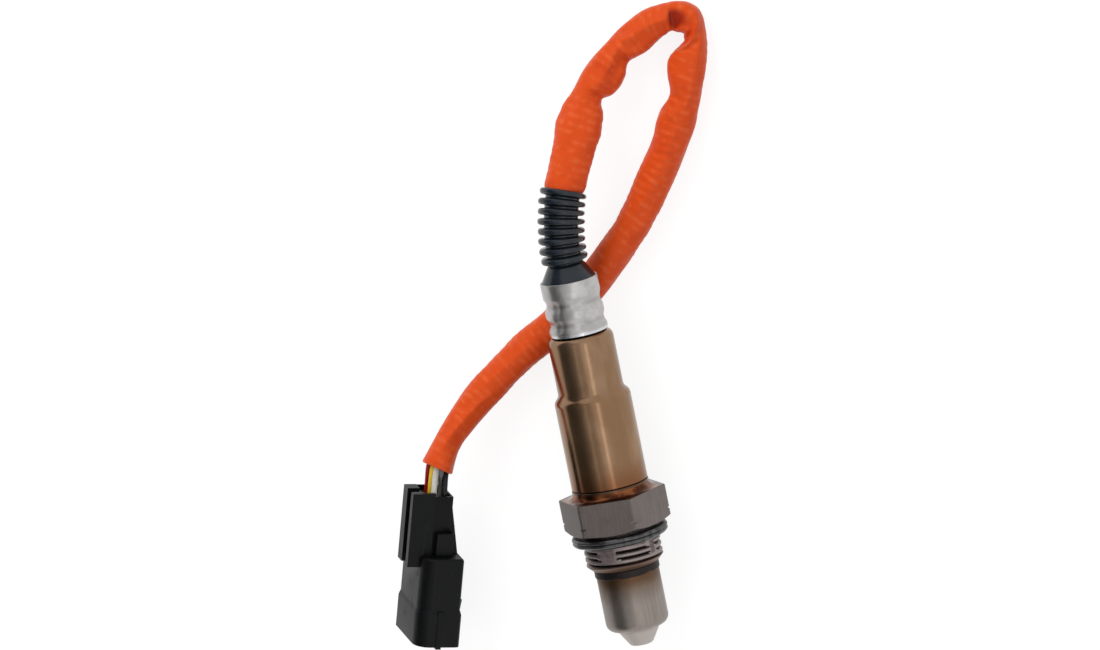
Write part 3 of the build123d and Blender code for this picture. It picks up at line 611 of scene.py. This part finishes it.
def makeWires(setup, line):
    tangent, _, _ = lineFrames(line)
    end, inward = line[-1], -tangent[-1]
    left = plugFrame["left"] - inward * np.dot(plugFrame["left"], inward)
    left /= np.linalg.norm(left)
    front = np.cross(inward, left)
    made = []
    for colour, (column, row, besides, before, paint) in wirePlaces.items():
        bundle = end + left * besides + front * before
        place = (setup["column"] + column * setup["columnPitch"] / 2, setup["row"] + row * setup["rowPitch"])
        route = [
            bundle + inward * setup["inSleeve"],
            bundle + inward * setup["outOfSleeve"] * 0.5,
            bundle - inward * setup["outOfSleeve"],
            inPlug(*place, plugFrame["length"] + setup["beforePlug"]),
            inPlug(*place, plugFrame["length"] - setup["atPlug"]),
            inPlug(*place, plugFrame["length"] - setup["inPlug"]),
        ]
        path, _ = evenly(routeLine("wireRoute", route), setup["step"])
        material = newMaterial(colour + "Insulation", {"Specular IOR Level": 0.3}, wireLook(paint))
        name = "wire" + colour.capitalize()
        piece = addSurface(name, tubeGrid(path, setup["radius"], setup["columns"]), material, capped=True)
        made.append(standIn(piece, colour + "_insulation", "wire_" + colour))
    return made


wirePieces = makeWires(wires, sleeveLine)
print("wires made")


# Hexagon, collar and thread
hexagon = {
    "columns": 360,
    "flats": 22.0,
    "height": 8.05,
    "chamferRadius": 10.9,
    "chamferHeight": 0.8,
    "cornerRadius": 12.75,
    "grooveStation": 2.4,
    "grooveWidth": 0.5,
    "grooveDepth": 0.5,
    "edge": 0.22,  # broken edge round the top and bottom faces
    "crispness": 110,
}
collar = {"radius": 9.0, "round": 1.6, "lip": 0.4, "spigotRadius": 8.25, "spigotLength": 3.0}
thread = {
    "radius": 9.0,
    "start": -3.35,
    "end": -8.0,
    "reliefRadius": 8.2,
    "reliefEnd": -2.95,
    "pitch": 1.5,
    "depth": 0.75,
    "chamfer": 1.2,
    "bossRadius": 6.6,
    "bossEnd": -11.1,
    "windows": ((-0.5, 53.0), (-95.0, -28.5), (68.0, 150.0), (190.0, 236.0)),  # where the paste is off
    "wander": 4.5,  # degrees by which a window's end moves from turn to turn
    "edge": 3,  # degrees over which a window opens
    "row": 0.08,
}
bores = {"nose": 5.1, "waist": 3.4, "waistStart": -6.0, "waistEnd": -4.0, "upper": 4.65}


def hexRadius(angle):
    # Distance from the axis to the nearest flat, with its corners eased by a high power mean.
    flats = np.radians(np.arange(6) * 60)
    cosines = np.maximum(np.cos(angle[..., None] - flats), 0)
    return hexagon["flats"] / 2 / (cosines ** hexagon["crispness"]).sum(axis=-1) ** (1 / hexagon["crispness"])


def threadCut(station, angle):
    # Groove depth: a raised cosine along the helix, cut only inside windows whose ends differ from
    # turn to turn.
    turns = station / thread["pitch"] + angle / (2 * np.pi)
    wave = 0.5 + 0.5 * np.cos(2 * np.pi * turns)
    ridge = np.floor(turns)
    degrees = np.degrees(angle)
    window = np.zeros_like(wave)
    for low, high in thread["windows"]:
        for whole in (0, 360):
            first = low + whole + thread["wander"] * np.sin(ridge * 2.1 + low)
            last = high + whole + thread["wander"] * np.sin(ridge * 1.7 + high)
            window = np.maximum(window, within(degrees, first, last, thread["edge"]))
    # The last turn, next to the boss, is clear of paste all round.
    bare = np.clip((thread["end"] + 1.5 - station) / 0.3, 0, 1)
    window = np.maximum(window, bare)
    ends = within(station, thread["end"], thread["start"], 0.3)
    paste = 0.12 * (1 - window) * (0.5 + 0.5 * np.sin(turns * 2 * np.pi + 2))
    return ends * (thread["depth"] * wave**2.2 * window + paste)


def housingShape(radius, station, angle):
    # The hexagon trims the turned profile, a little further in at its two edges, and the thread is cut.
    edge = hexagon["edge"]
    near = np.maximum(edge - station, station - hexagon["height"] + edge) / edge
    ease = edge * (1 - np.sqrt(np.maximum(1 - np.clip(near, 0, 1) ** 2, 0)))
    trimmed = np.minimum(radius, hexRadius(angle) - ease)
    inThread = (station < thread["start"]) & (station > thread["end"]) & (radius > thread["radius"] - 0.01)
    return trimmed - np.where(inThread, threadCut(station, angle), 0)


def housingProfile():
    # Radius and station of each row, from the boss up the outside and back down through the bores.
    hexEnd, top = hexagon["height"], hexagon["height"] + collar["round"]
    lip = top + collar["lip"]
    groove = hexagon["grooveStation"]
    deep = hexagon["cornerRadius"] - hexagon["grooveDepth"]
    turns = np.arange(thread["end"], thread["start"], thread["row"])
    spread = np.sqrt(np.linspace(0, 1, 5))[::-1]
    arc = np.radians(np.linspace(-90, -180, 10))
    foot = collar["radius"] + collar["round"]
    rows = [
        (bores["nose"], thread["bossEnd"]),
        (thread["bossRadius"], thread["bossEnd"]),
        (thread["bossRadius"], thread["end"] - thread["chamfer"]),
        (thread["radius"] - thread["chamfer"], thread["end"] - thread["chamfer"]),
        *((thread["radius"], station) for station in turns),
        (thread["radius"], thread["start"]),
        (thread["reliefRadius"], thread["reliefEnd"]),
        (thread["reliefRadius"], 0),
        (hexagon["chamferRadius"] - 0.7, 0),
        (hexagon["chamferRadius"], 0),
        *((hexagon["chamferRadius"] + share * (hexagon["cornerRadius"] - hexagon["chamferRadius"]),
           share * hexagon["chamferHeight"]) for share in (0.08, 0.16, 0.3, 0.5, 0.75, 1)),
        (hexagon["cornerRadius"], groove - hexagon["grooveWidth"] / 2),
        (deep, groove - hexagon["grooveWidth"] / 2 + 0.05),
        (deep, groove + hexagon["grooveWidth"] / 2 - 0.05),
        (hexagon["cornerRadius"], groove + hexagon["grooveWidth"] / 2),
        *((hexagon["cornerRadius"], station) for station in (3.5, 5, 6.5)),
        *((hexagon["cornerRadius"], hexEnd - hexagon["edge"] * share) for share in spread),
        (foot + 0.15, hexEnd),
        *((foot + collar["round"] * math.cos(turn), top + collar["round"] * math.sin(turn)) for turn in arc),
        (collar["radius"], lip - 0.08),
        (collar["radius"] - 0.08, lip),
        (collar["spigotRadius"], lip),
        (collar["spigotRadius"], lip + collar["spigotLength"]),
        (bores["upper"], lip + collar["spigotLength"]),
        (bores["upper"], bores["waistEnd"]),
        (bores["waist"], bores["waistEnd"]),
        (bores["waist"], bores["waistStart"]),
        (bores["nose"], bores["waistStart"]),
    ]
    return np.array(rows)


hexTones = tones(
    face=(110, 102, 99),
    faceLight=(121, 113, 109),
    faceDark=(100, 91, 87),
    copper=(66, 36, 22),
    copperLight=(132, 80, 50),
    copperEdge=(80, 52, 38),
    collar=(92, 68, 52),
    # near black: painted shade in the gap above the collar's lip
    seam=(20, 15, 12),
    paste=(102, 90, 90),
    pasteLight=(120, 107, 106),
    bare=(144, 134, 131),
    # dark: painted shade in the bared thread's grooves
    groove=(40, 34, 34),
    endTurn=(112, 84, 66),
)


def hexLook(tree):
    own, station = sensorPlace(tree)
    flat = tree.node("VectorMath", {"operation": "MULTIPLY"}, {0: own, 1: (1, 1, 0)})
    radius = tree.node("VectorMath", {"operation": "LENGTH"}, {0: flat}, output="Value")
    grain = own.noise(1.6, 4.0, (1.6, 1.6, 0.10))
    mottled = own.noise(0.35, 3.0)
    top = hexagon["height"] + collar["round"]
    topFace = station.rise(hexagon["height"] - 0.15, hexagon["height"] + 0.01)
    collarRing = station.rise(top - 0.15, top + 0.05)
    # Painted shade: the spigot above the collar's lip, in the gap under the shell, is painted near black.
    seam = station.rise(top + collar["lip"] + 0.01, top + collar["lip"] + 0.07)
    belowSeat = 1 - station.rise(thread["reliefEnd"] - 0.25, thread["reliefEnd"] + 0.05)
    endTurn = 1 - station.rise(thread["end"] - 0.1, thread["end"] + 0.6)
    # Painted shade: the bottoms of the bared thread's grooves are painted dark.
    groove = 1 - radius.rise(thread["radius"] - 0.65, thread["radius"] - 0.3)
    rim = radius.rise(hexagon["flats"] / 2 - 0.2, hexagon["flats"] / 2 + 0.6)
    face = grain.rise(0.3, 0.75).blend(hexTones["face"], hexTones["faceLight"])
    face = (mottled.rise(0.5, 0.75) * 0.4).blend(face, hexTones["faceDark"])
    copper = mottled.rise(0.4, 0.7).blend(hexTones["copper"], hexTones["copperLight"])
    paint = topFace.blend(face, rim.blend(copper, hexTones["copperEdge"]))
    paint = collarRing.blend(paint, hexTones["collar"])
    paint = seam.blend(paint, hexTones["seam"])
    paste = own.noise(0.8, 3.0).rise(0.35, 0.7).blend(hexTones["paste"], hexTones["pasteLight"])
    window = tree.node("Attribute", {"attribute_name": "bare"}, output="Fac")
    low = window.blend(paste, groove.blend(hexTones["bare"], hexTones["groove"]))
    low = (endTurn * 0.75).blend(low, hexTones["endTurn"])
    paint = belowSeat.blend(paint, low)
    covered = belowSeat * (1 - window)
    rough = 0.46 - topFace * 0.22 + covered * 0.14 + (grain - 0.5) * 0.16
    height = grain * (1 - topFace) * (1 - belowSeat) + own.noise(1.5, 3.0) * belowSeat * 0.6
    return {"Base Color": paint, "Metallic": 1 - covered * 0.6, "Roughness": rough,
            "Normal": uneven(height, 0.35, 0.06)}


hexSteel = newMaterial("hexSteel", {"IOR": 1.5}, hexLook)
housingGrid = lathe(housingProfile(), hexagon["columns"], housingShape)
housingPiece = addSurface("hexAndThread", housingGrid, hexSteel, sharp=28)


def paintBare(piece):
    # Marks the thread's windows on the points, 1 where the paste is off.
    wander = thread["wander"]
    place = pointsOf(piece.data) - seatPoint
    station = place @ axisDir
    angle = np.degrees(np.arctan2(place @ acrossDir, place @ upDir))
    window = np.zeros(len(place))
    for low, high in thread["windows"]:
        for whole in (-360, 0):
            window = np.maximum(window, within(angle - whole, low - wander, high + wander, thread["edge"]))
    window = np.maximum(window, np.clip((thread["end"] + 1.6 - station) / 0.3, 0, 1))
    window = np.maximum(window, np.clip((station - thread["start"]) / 0.3 + 1, 0, 1))
    setPointValues(piece.data, "bare", window)


paintBare(housingPiece)
standIn(housingPiece, "hex_steel", "housing")

# Gasket ring: sheet folded into two round lips, open inside
gasket = {"radius": 11.35, "thickness": 2.1, "bore": 9.15, "station": -1.8, "sheet": 0.36, "columns": 180}


def gasketProfile(setup):
    # The folded sheet's outline: two round lips with a sharp fold between them, and the hollow inside.
    half = setup["thickness"] / 2
    sheet = setup["sheet"]
    edge = setup["radius"]
    mid = setup["station"]
    corners = [
        (setup["bore"], mid - half, 0),
        (edge - 0.55, mid - half, 0.5),
        (edge - 0.02, mid - half * 0.45, 0.35),
        (edge - 0.42, mid - 0.08, 0.1),
        (edge, mid + half * 0.35, 0.35),
        (edge - 0.5, mid + half, 0.45),
        (setup["bore"], mid + half, 0),
        (setup["bore"], mid + half - sheet, 0),
        (edge - 0.9, mid + half - sheet, 0.15),
        (edge - 0.9, mid - half + sheet, 0.15),
        (setup["bore"], mid - half + sheet, 0),
    ]
    return roundCorners(corners)


# The darkest tone is painted shade for the gap at the fold between the lips.
gasketTones = tones(bright=(94, 94, 95), dull=(60, 60, 62), seam=(34, 34, 36))


def gasketLook(tree):
    own, station = sensorPlace(tree)
    turned = own.noise(1.2, 3.0, (0.4, 0.4, 6.0))
    dull = own.noise(0.5, 3.0).rise(0.4, 0.75)
    # Painted shade: the gap at the fold between the two lips is painted dark.
    seam = station.bump(gasket["station"] - 0.05, 0.3)
    colour = dull.blend(gasketTones["bright"], gasketTones["dull"])
    colour = (seam * 0.85).blend(colour, gasketTones["seam"])
    return {"Base Color": colour, "Roughness": 0.28 + 0.2 * dull, "Normal": uneven(turned, 0.25, 0.05)}


gasketSteel = newMaterial("gasketSteel", {"Metallic": 1.0}, gasketLook)
gasketPiece = addSurface("gasketFold", lathe(gasketProfile(gasket), gasket["columns"]), gasketSteel)
standIn(gasketPiece, "gasket_steel", "gasket_ring")

# Clamp sleeve: thin wall with a bead and two crimped grooves, pressed by a collet of eight jaws
clamp = {
    "wall": 0.4,
    "columns": 192,
    "jaws": 8,
    "dent": 0.13,
    "crimp": (47.2, 55.2, 0.8),  # stations the jaws press, and how softly the pressing ends
    # stations where the bead's lower edge gets a painted highlight
    "rubbed": (46.8, 47.4),
    "grooves": (49.2, 53.8),
}
# Radius, station and easing of each corner
clampCorners = (
    (6.82, 46.45, 0.12), (6.82, 47.6, 0.5), (6.3, 48.8, 0.6), (6.3, 49.55, 0.6), (6.82, 50.75, 0.6),
    (6.82, 52.25, 0.6), (6.3, 53.45, 0.6), (6.3, 54.2, 0.6), (6.7, 55.4, 0.7), (6.7, 59.1, 0.15),
)


def clampShape(radius, station, angle):
    # A high power of a sine with a crest at each jaw presses the crimped part in, and slow sines tilt it.
    crimp = within(station, *clamp["crimp"])
    jaw = np.abs(np.sin(angle * clamp["jaws"] / 2 + 0.4))
    tilt = 0.05 * np.sin(3 * angle + station * 0.9) + 0.04 * np.sin(7 * angle - station * 1.3)
    return radius - crimp * (clamp["dent"] * jaw**6 + tilt) + 0.02 * np.sin(2 * angle + station * 0.6)


clampTones = tones(
    body=(174, 172, 170),
    light=(194, 192, 190),
    worn=(128, 128, 128),
    # painted highlight tone for the bead's lower edge
    rubbed=(206, 208, 212),
    groove=(120, 116, 112),
)


def clampLook(tree):
    own, station = sensorPlace(tree)
    lengthways = own.noise(1.4, 4.0, (1.5, 1.5, 0.2))
    cloudy = own.noise(0.45, 3.0)
    worn = own.noise(2.5, 4.0).rise(0.62, 0.75)
    colour = cloudy.rise(0.35, 0.7).blend(clampTones["body"], clampTones["light"])
    colour = (worn * 0.4).blend(colour, clampTones["worn"])
    # Painted highlight: the bead's lower edge is painted lighter, and its roughness is lowered there.
    rubbed = 1 - station.rise(*clamp["rubbed"])
    colour = rubbed.blend(colour, clampTones["rubbed"])
    groove = station.bump(clamp["grooves"][0], 0.9) + station.bump(clamp["grooves"][1], 0.9)
    colour = (groove * 0.3).blend(colour, clampTones["groove"])
    rough = 0.3 + 0.14 * cloudy + 0.12 * worn - 0.12 * rubbed
    return {"Base Color": colour, "Roughness": rough, "Normal": uneven(lengthways + worn * 0.4, 0.25, 0.08)}


clampSteel = newMaterial("clampSteel", {"Metallic": 1.0}, clampLook)
clampInner = [(radius - clamp["wall"], station, easing) for radius, station, easing in reversed(clampCorners)]
clampInner[0] = (*clampInner[0][:2], 0.1)  # the inner corner at the top is a little sharper
clampGrid = lathe(roundCorners([*clampCorners, *clampInner]), clamp["columns"], clampShape)
clampPiece = addSurface("clampCrimp", clampGrid, clampSteel)
standIn(clampPiece, "clamp_steel", "clamp_sleeve")

# Boot: skirt under the clamp, cone, and a bent bellows of round rings
boot = {
    "columns": 128,
    "bore": 3.0,
    "valley": 3.95,
    "ring": 5.45,
    "ringThickness": 1.3,
    "rings": 8,
    "cup": 4.25,
    "cupDepth": 1.0,
}
# Radius, station and easing of the skirt's and the cone's corners
bootSkirt = (
    (5.3, 48.5, 0), (5.82, 48.5, 0.1), (5.82, 55.8, 0.2), (6.25, 56.2, 0.2), (6.25, 59.15, 0.3), (4.4, 62.3, 1.2),
)


def bootProfile(setup):
    # Skirt and cone, round rings with valleys between, the cup at the end, and the bore back.
    half = setup["ringThickness"] / 2
    end = bellows["start"] + bellows["length"]
    corners = [*bootSkirt, (setup["valley"], bellows["start"] - 0.4, 0.2)]
    for place in np.linspace(bellows["start"] + half, end - half, setup["rings"]):
        corners += [
            (setup["valley"], place - half * 1.15, 0.24), (setup["ring"], place - half, half * 0.97),
            (setup["ring"], place + half, half * 0.97), (setup["valley"], place + half * 1.15, 0.24),
        ]
    corners[-1:] = [
        (setup["cup"], end, 0), (setup["cup"], end - setup["cupDepth"], 0), (setup["bore"], end - setup["cupDepth"], 0),
        (setup["bore"], 62.3, 0), (5.3, 58.1, 0),
    ]
    return roundCorners(corners, 7)


def bootShape(radius, station, angle):
    # Slow sines round and along let the rings stand a little unevenly, as soft rubber does.
    sway = 0.05 * np.sin(2 * angle + station * 1.7) + 0.04 * np.sin(3 * angle - station * 2.3)
    return radius + sway * np.clip((radius - 4.3) / 0.6, 0, 1) * np.clip((station - 62) / 2, 0, 1)


bootTones = tones(body=(19, 28, 36), dusty=(27, 36, 44), worn=(52, 60, 66))


def bootLook(tree):
    own, _ = sensorPlace(tree)
    dust = own.noise(0.6, 4.0)
    fine = own.noise(3.5, 4.0)
    colour = dust.rise(0.45, 0.75).blend(bootTones["body"], bootTones["dusty"])
    colour = (fine.rise(0.66, 0.8) * 0.25).blend(colour, bootTones["worn"])
    return {"Base Color": colour, "Roughness": 0.16 + 0.1 * dust, "Normal": uneven(fine + dust, 0.12, 0.05)}


bootRubber = newMaterial("bootRubber", {"Specular IOR Level": 0.42}, bootLook)
bootPiece = addSurface("bellowsBoot", lathe(bootProfile(boot), boot["columns"], bootShape), bootRubber, sharp=50)
standIn(bootPiece, "boot_rubber", "boot")
print("sensor pieces made")


# Plug housing and terminal lock: the CAD's shapes with eased edges
eased = {"joinUnder": 0.005, "flatUnder": 1.0, "easeOver": 40, "sharpOver": 38}  # a distance in mm, then degrees


def easedCopy(name, node, width, material, slot):
    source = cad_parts[node]
    mesh = source.data.copy()
    mesh.transform(source.matrix_world)
    mesh.name = name
    mesh.materials.clear()
    mesh.materials.append(material)
    piece = addObject(name, mesh)
    work = bmesh.new()
    work.from_mesh(mesh)
    bmesh.ops.remove_doubles(work, verts=work.verts, dist=eased["joinUnder"] * metre)
    flat = math.radians(eased["flatUnder"])
    bmesh.ops.dissolve_limit(work, angle_limit=flat, verts=work.verts, edges=work.edges)
    work.to_mesh(mesh)
    work.free()
    bevel = piece.modifiers.new("eased", "BEVEL")
    bevel.width = width * metre
    bevel.segments = 2
    bevel.limit_method = "ANGLE"
    bevel.angle_limit = math.radians(eased["easeOver"])
    mesh.polygons.foreach_set("use_smooth", np.ones(len(mesh.polygons), bool))
    mesh.set_sharp_from_angle(angle=math.radians(eased["sharpOver"]))
    return standIn(piece, slot, node)


def plasticLook(light, dark):
    def look(tree):
        place = objectPlace(tree)
        grain = place.noise(3.0, 4.0)
        scuff = place.noise(0.5, 5.0, (1, 0.4, 1), 0.65)
        marks = scuff.rise(0.6, 0.72)
        colour = marks.blend(tone(*dark), tone(*light))
        return {"Base Color": colour, "Roughness": 0.36 + 0.12 * scuff + 0.12 * marks,
                "Normal": uneven(grain, 0.2, 0.04)}

    return look


blackPlastic = newMaterial("blackPlastic", {"Specular IOR Level": 0.16}, plasticLook((26, 27, 30), (8, 9, 11)))
lockPlastic = newMaterial("lockPlastic", {"Specular IOR Level": 0.16}, plasticLook((28, 29, 32), (10, 11, 13)))
plugPiece = easedCopy("plugBody", "connector_housing", 0.13, blackPlastic, "black_plastic")
lockPiece = easedCopy("plugLock", "terminal_lock", 0.1, lockPlastic, "lock_plastic")
print("plug made")


# Finishes of the CAD nodes that stay; stations between which the tube's stains come and go
tubeStains = {"band": (-11.2, -10.8), "burnt": (-14.2, -11.6), "warm": (-18.5, -12.5), "nose": (-25.2, -23.6)}
tubeTones = tones(
    steel=(137, 128, 122),
    light=(149, 140, 134),
    nose=(174, 166, 161),
    warm=(114, 99, 86),
    burnt=(96, 72, 54),
    band=(50, 46, 45),
)


def tubeLook(tree):
    own, station = sensorPlace(tree)
    turned = own.noise(1.0, 4.0, (0.3, 0.3, 7.0))
    lengthways = own.noise(0.9, 4.0, (1.6, 1.6, 0.12))
    cloud = own.noise(0.3, 3.0)
    edge = station + (cloud - 0.5) * 1.6
    band, burnt, warm = (edge.rise(*tubeStains[stage]) for stage in ("band", "burnt", "warm"))
    colour = lengthways.rise(0.3, 0.75).blend(tubeTones["steel"], tubeTones["light"])
    nose = 1 - station.rise(*tubeStains["nose"])
    for share, stain in ((nose, "nose"), (warm, "warm"), (burnt, "burnt"), (band, "band")):
        colour = share.blend(colour, tubeTones[stain])
    rough = 0.34 + 0.14 * cloud + 0.1 * band
    return {"Base Color": colour, "Roughness": rough, "Normal": uneven(turned + lengthways, 0.1, 0.04)}


shellTones = tones(body=(134, 104, 78), light=(148, 119, 94), foot=(122, 82, 56))


def shellLook(tree):
    own, station = sensorPlace(tree)
    turned = own.noise(1.2, 3.0, (0.25, 0.25, 9.0))
    smear = own.noise(0.22, 4.0, (1, 1, 0.5))
    colour = smear.rise(0.35, 0.7).blend(shellTones["body"], shellTones["light"])
    colour = (1 - station.rise(10, 17)).blend(colour, shellTones["foot"])
    rough = 0.17 + 0.1 * smear
    return {"Base Color": colour, "Roughness": rough, "Normal": uneven(turned, 0.12, 0.04)}


def plainLook(first, second, low, high):
    def look(tree):
        place = objectPlace(tree)
        cloud = place.noise(0.8, 4.0)
        colour = cloud.rise(0.35, 0.7).blend(tone(*first), tone(*second))
        return {"Base Color": colour, "Roughness": low + (high - low) * cloud,
                "Normal": uneven(place.noise(3.2, 3.0), 0.2, 0.05)}

    return look


def five(name):
    return [f"{name}_{number}" for number in range(1, 6)]


keptFinishes = {
    "tubeSteel": ({"Metallic": 1.0}, tubeLook, ("outer_protection_tube", "inner_protection_tube")),
    "shellSteel": ({"Metallic": 1.0}, shellLook, ("shell",)),
    "zirconia": ({}, plainLook((236, 232, 222), (220, 214, 202), 0.5, 0.7), ("sensor_element",)),
    "whiteCeramic": ({}, plainLook((232, 226, 210), (214, 206, 188), 0.6, 0.8),
                     ("lower_ceramic_bush", "upper_ceramic_bush", "contact_holder")),
    "talc": ({}, plainLook((206, 206, 198), (180, 180, 172), 0.8, 0.95), ("talc_seal",)),
    "springSteel": ({"Metallic": 1.0}, plainLook((200, 198, 192), (172, 170, 164), 0.25, 0.4),
                    (*five("contact_clip"), "holder_spring")),
    "sealRubber": ({}, plainLook((96, 42, 30), (76, 32, 24), 0.5, 0.7),
                   (*five("wire_seal"), "cable_seal")),
    "tinnedBrass": ({"Metallic": 1.0}, plainLook((214, 208, 192), (188, 176, 150), 0.25, 0.45), five("terminal")),
}
for finish, (constants, look, nodes) in keptFinishes.items():
    made = newMaterial(finish, constants, look)
    for node in nodes:
        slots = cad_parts[node].material_slots
        if not slots:
            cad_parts[node].data.materials.append(made)
        for slot in slots:
            slot.material = made
print("finishes set")

# The pieces on the sleeve's end: wires, plug, lock, terminals and wire seals
cordPieces = [*wirePieces, plugPiece, lockPiece]
cordPieces += [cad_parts[node] for node in five("terminal") + five("wire_seal")]


# Floor, light and the dark panel that the metal mirrors
studio = {
    "floorSize": 6.0,
    "floorGlow": 0.84,
    "floorTone": 0.26,
    "ambient": 0.6,
    "lampStation": 25,
    # Name, angle round the sensor, tilt along it, distance, width, length, power, and whether metal mirrors it
    "lamps": (
        ("keyLamp", 22.5, 0, 1.4, 0.08, 1.3, 0.9, True),
        ("sideLamp", -17, 0, 1.4, 0.06, 1.2, 0.25, True),
        ("fillLamp", -28, 48, 1.5, 0.9, 0.9, 9.0, False),
    ),
    "panelHalf": 1.2,
    "panel": ((-0.62, 0.1, 0.15), (-0.62, 0.6, 0.17), (-0.62, 0.95, 0.36), (-0.62, 1.3, 0.52), (-0.5, 1.5, 0.76),
              (-0.2, 1.56, 0.9), (0.1, 1.62, 0.98)),  # across, height and grey of a bent sheet
}


def seenRays(tree):  # 1 for camera, glossy and transmission rays, 0 for all others
    kinds = ("Camera", "Glossy", "Transmission")
    camera, glossy, through = (tree.node("LightPath", output=f"Is {kind} Ray") for kind in kinds)
    return camera.larger(glossy).larger(through)


def addFloor(setup):
    half = setup["floorSize"] / 2
    mesh = bpy.data.meshes.new("floor")
    mesh.from_pydata([(-half, -half, 0), (half, -half, 0), (half, half, 0), (-half, half, 0)], [], [(0, 1, 2, 3)])
    material = bpy.data.materials.new("paleFloor")
    material.use_nodes = True
    tree = Link(material.node_tree)
    plain = tree.node("BsdfDiffuse", None, {"Color": (0.8, 0.8, 0.8, 1)})
    bright = tree.node("BsdfDiffuse", None, {"Color": (setup["floorTone"],) * 3 + (1,)})
    glow = tree.node("Emission", None, {"Color": (1, 1, 1, 1), "Strength": setup["floorGlow"]})
    lit = tree.node("AddShader", None, {0: bright, 1: glow})
    mixed = tree.node("MixShader", None, {0: seenRays(tree), 1: plain, 2: lit})
    output = material.node_tree.nodes["Material Output"]
    material.node_tree.links.new(mixed.socket, output.inputs["Surface"])
    mesh.materials.append(material)
    addObject("floor", mesh)


def addWorld(setup):
    world = bpy.data.worlds.new("studio")
    scene.world = world
    world.use_nodes = True
    background = world.node_tree.nodes["Background"]
    strength = seenRays(Link(world.node_tree)) * (1 - setup["ambient"]) + setup["ambient"]
    world.node_tree.links.new(strength.socket, background.inputs["Strength"])
    background.inputs["Color"].default_value = (1, 1, 1, 1)


def addLamps(setup):
    target = seatPoint + axisDir * setup["lampStation"]
    for name, angle, tilt, distance, width, length, power, mirrored in setup["lamps"]:
        data = bpy.data.lights.new(name, "AREA")
        data.shape = "RECTANGLE"
        data.size = width
        data.size_y = length
        data.energy = power
        toward = upDir * math.cos(math.radians(angle)) + acrossDir * math.sin(math.radians(angle))
        toward = toward * math.cos(math.radians(tilt)) + axisDir * math.sin(math.radians(tilt))
        lamp = addObject(name, data)
        lamp.matrix_world = facing(target + toward * distance / metre, toward, axisDir)
        lamp.visible_glossy = mirrored


def addPanel(setup):
    # A bent grey sheet beside and over the sensor, darker towards its foot, that only mirrors show.
    rows = [(x, sign * setup["panelHalf"], z) for x, z, _ in setup["panel"] for sign in (-1, 1)]
    faces = [(row, row + 1, row + 3, row + 2) for row in range(0, len(rows) - 2, 2)]
    mesh = bpy.data.meshes.new("darkPanel")
    mesh.from_pydata(rows, [], faces)
    setPointValues(mesh, "shade", np.repeat([shade for _, _, shade in setup["panel"]], 2))

    def look(tree):
        return {"Base Color": tree.node("Attribute", {"attribute_name": "shade"}, output="Fac")}

    mesh.materials.append(newMaterial("panelGrey", {"Roughness": 1.0, "Specular IOR Level": 0.0}, look))
    panel = addObject("darkPanel", mesh)
    panel.visible_camera = False
    panel.visible_diffuse = False
    panel.visible_shadow = False


addFloor(studio)
addWorld(studio)
addLamps(studio)
addPanel(studio)
print("studio set")
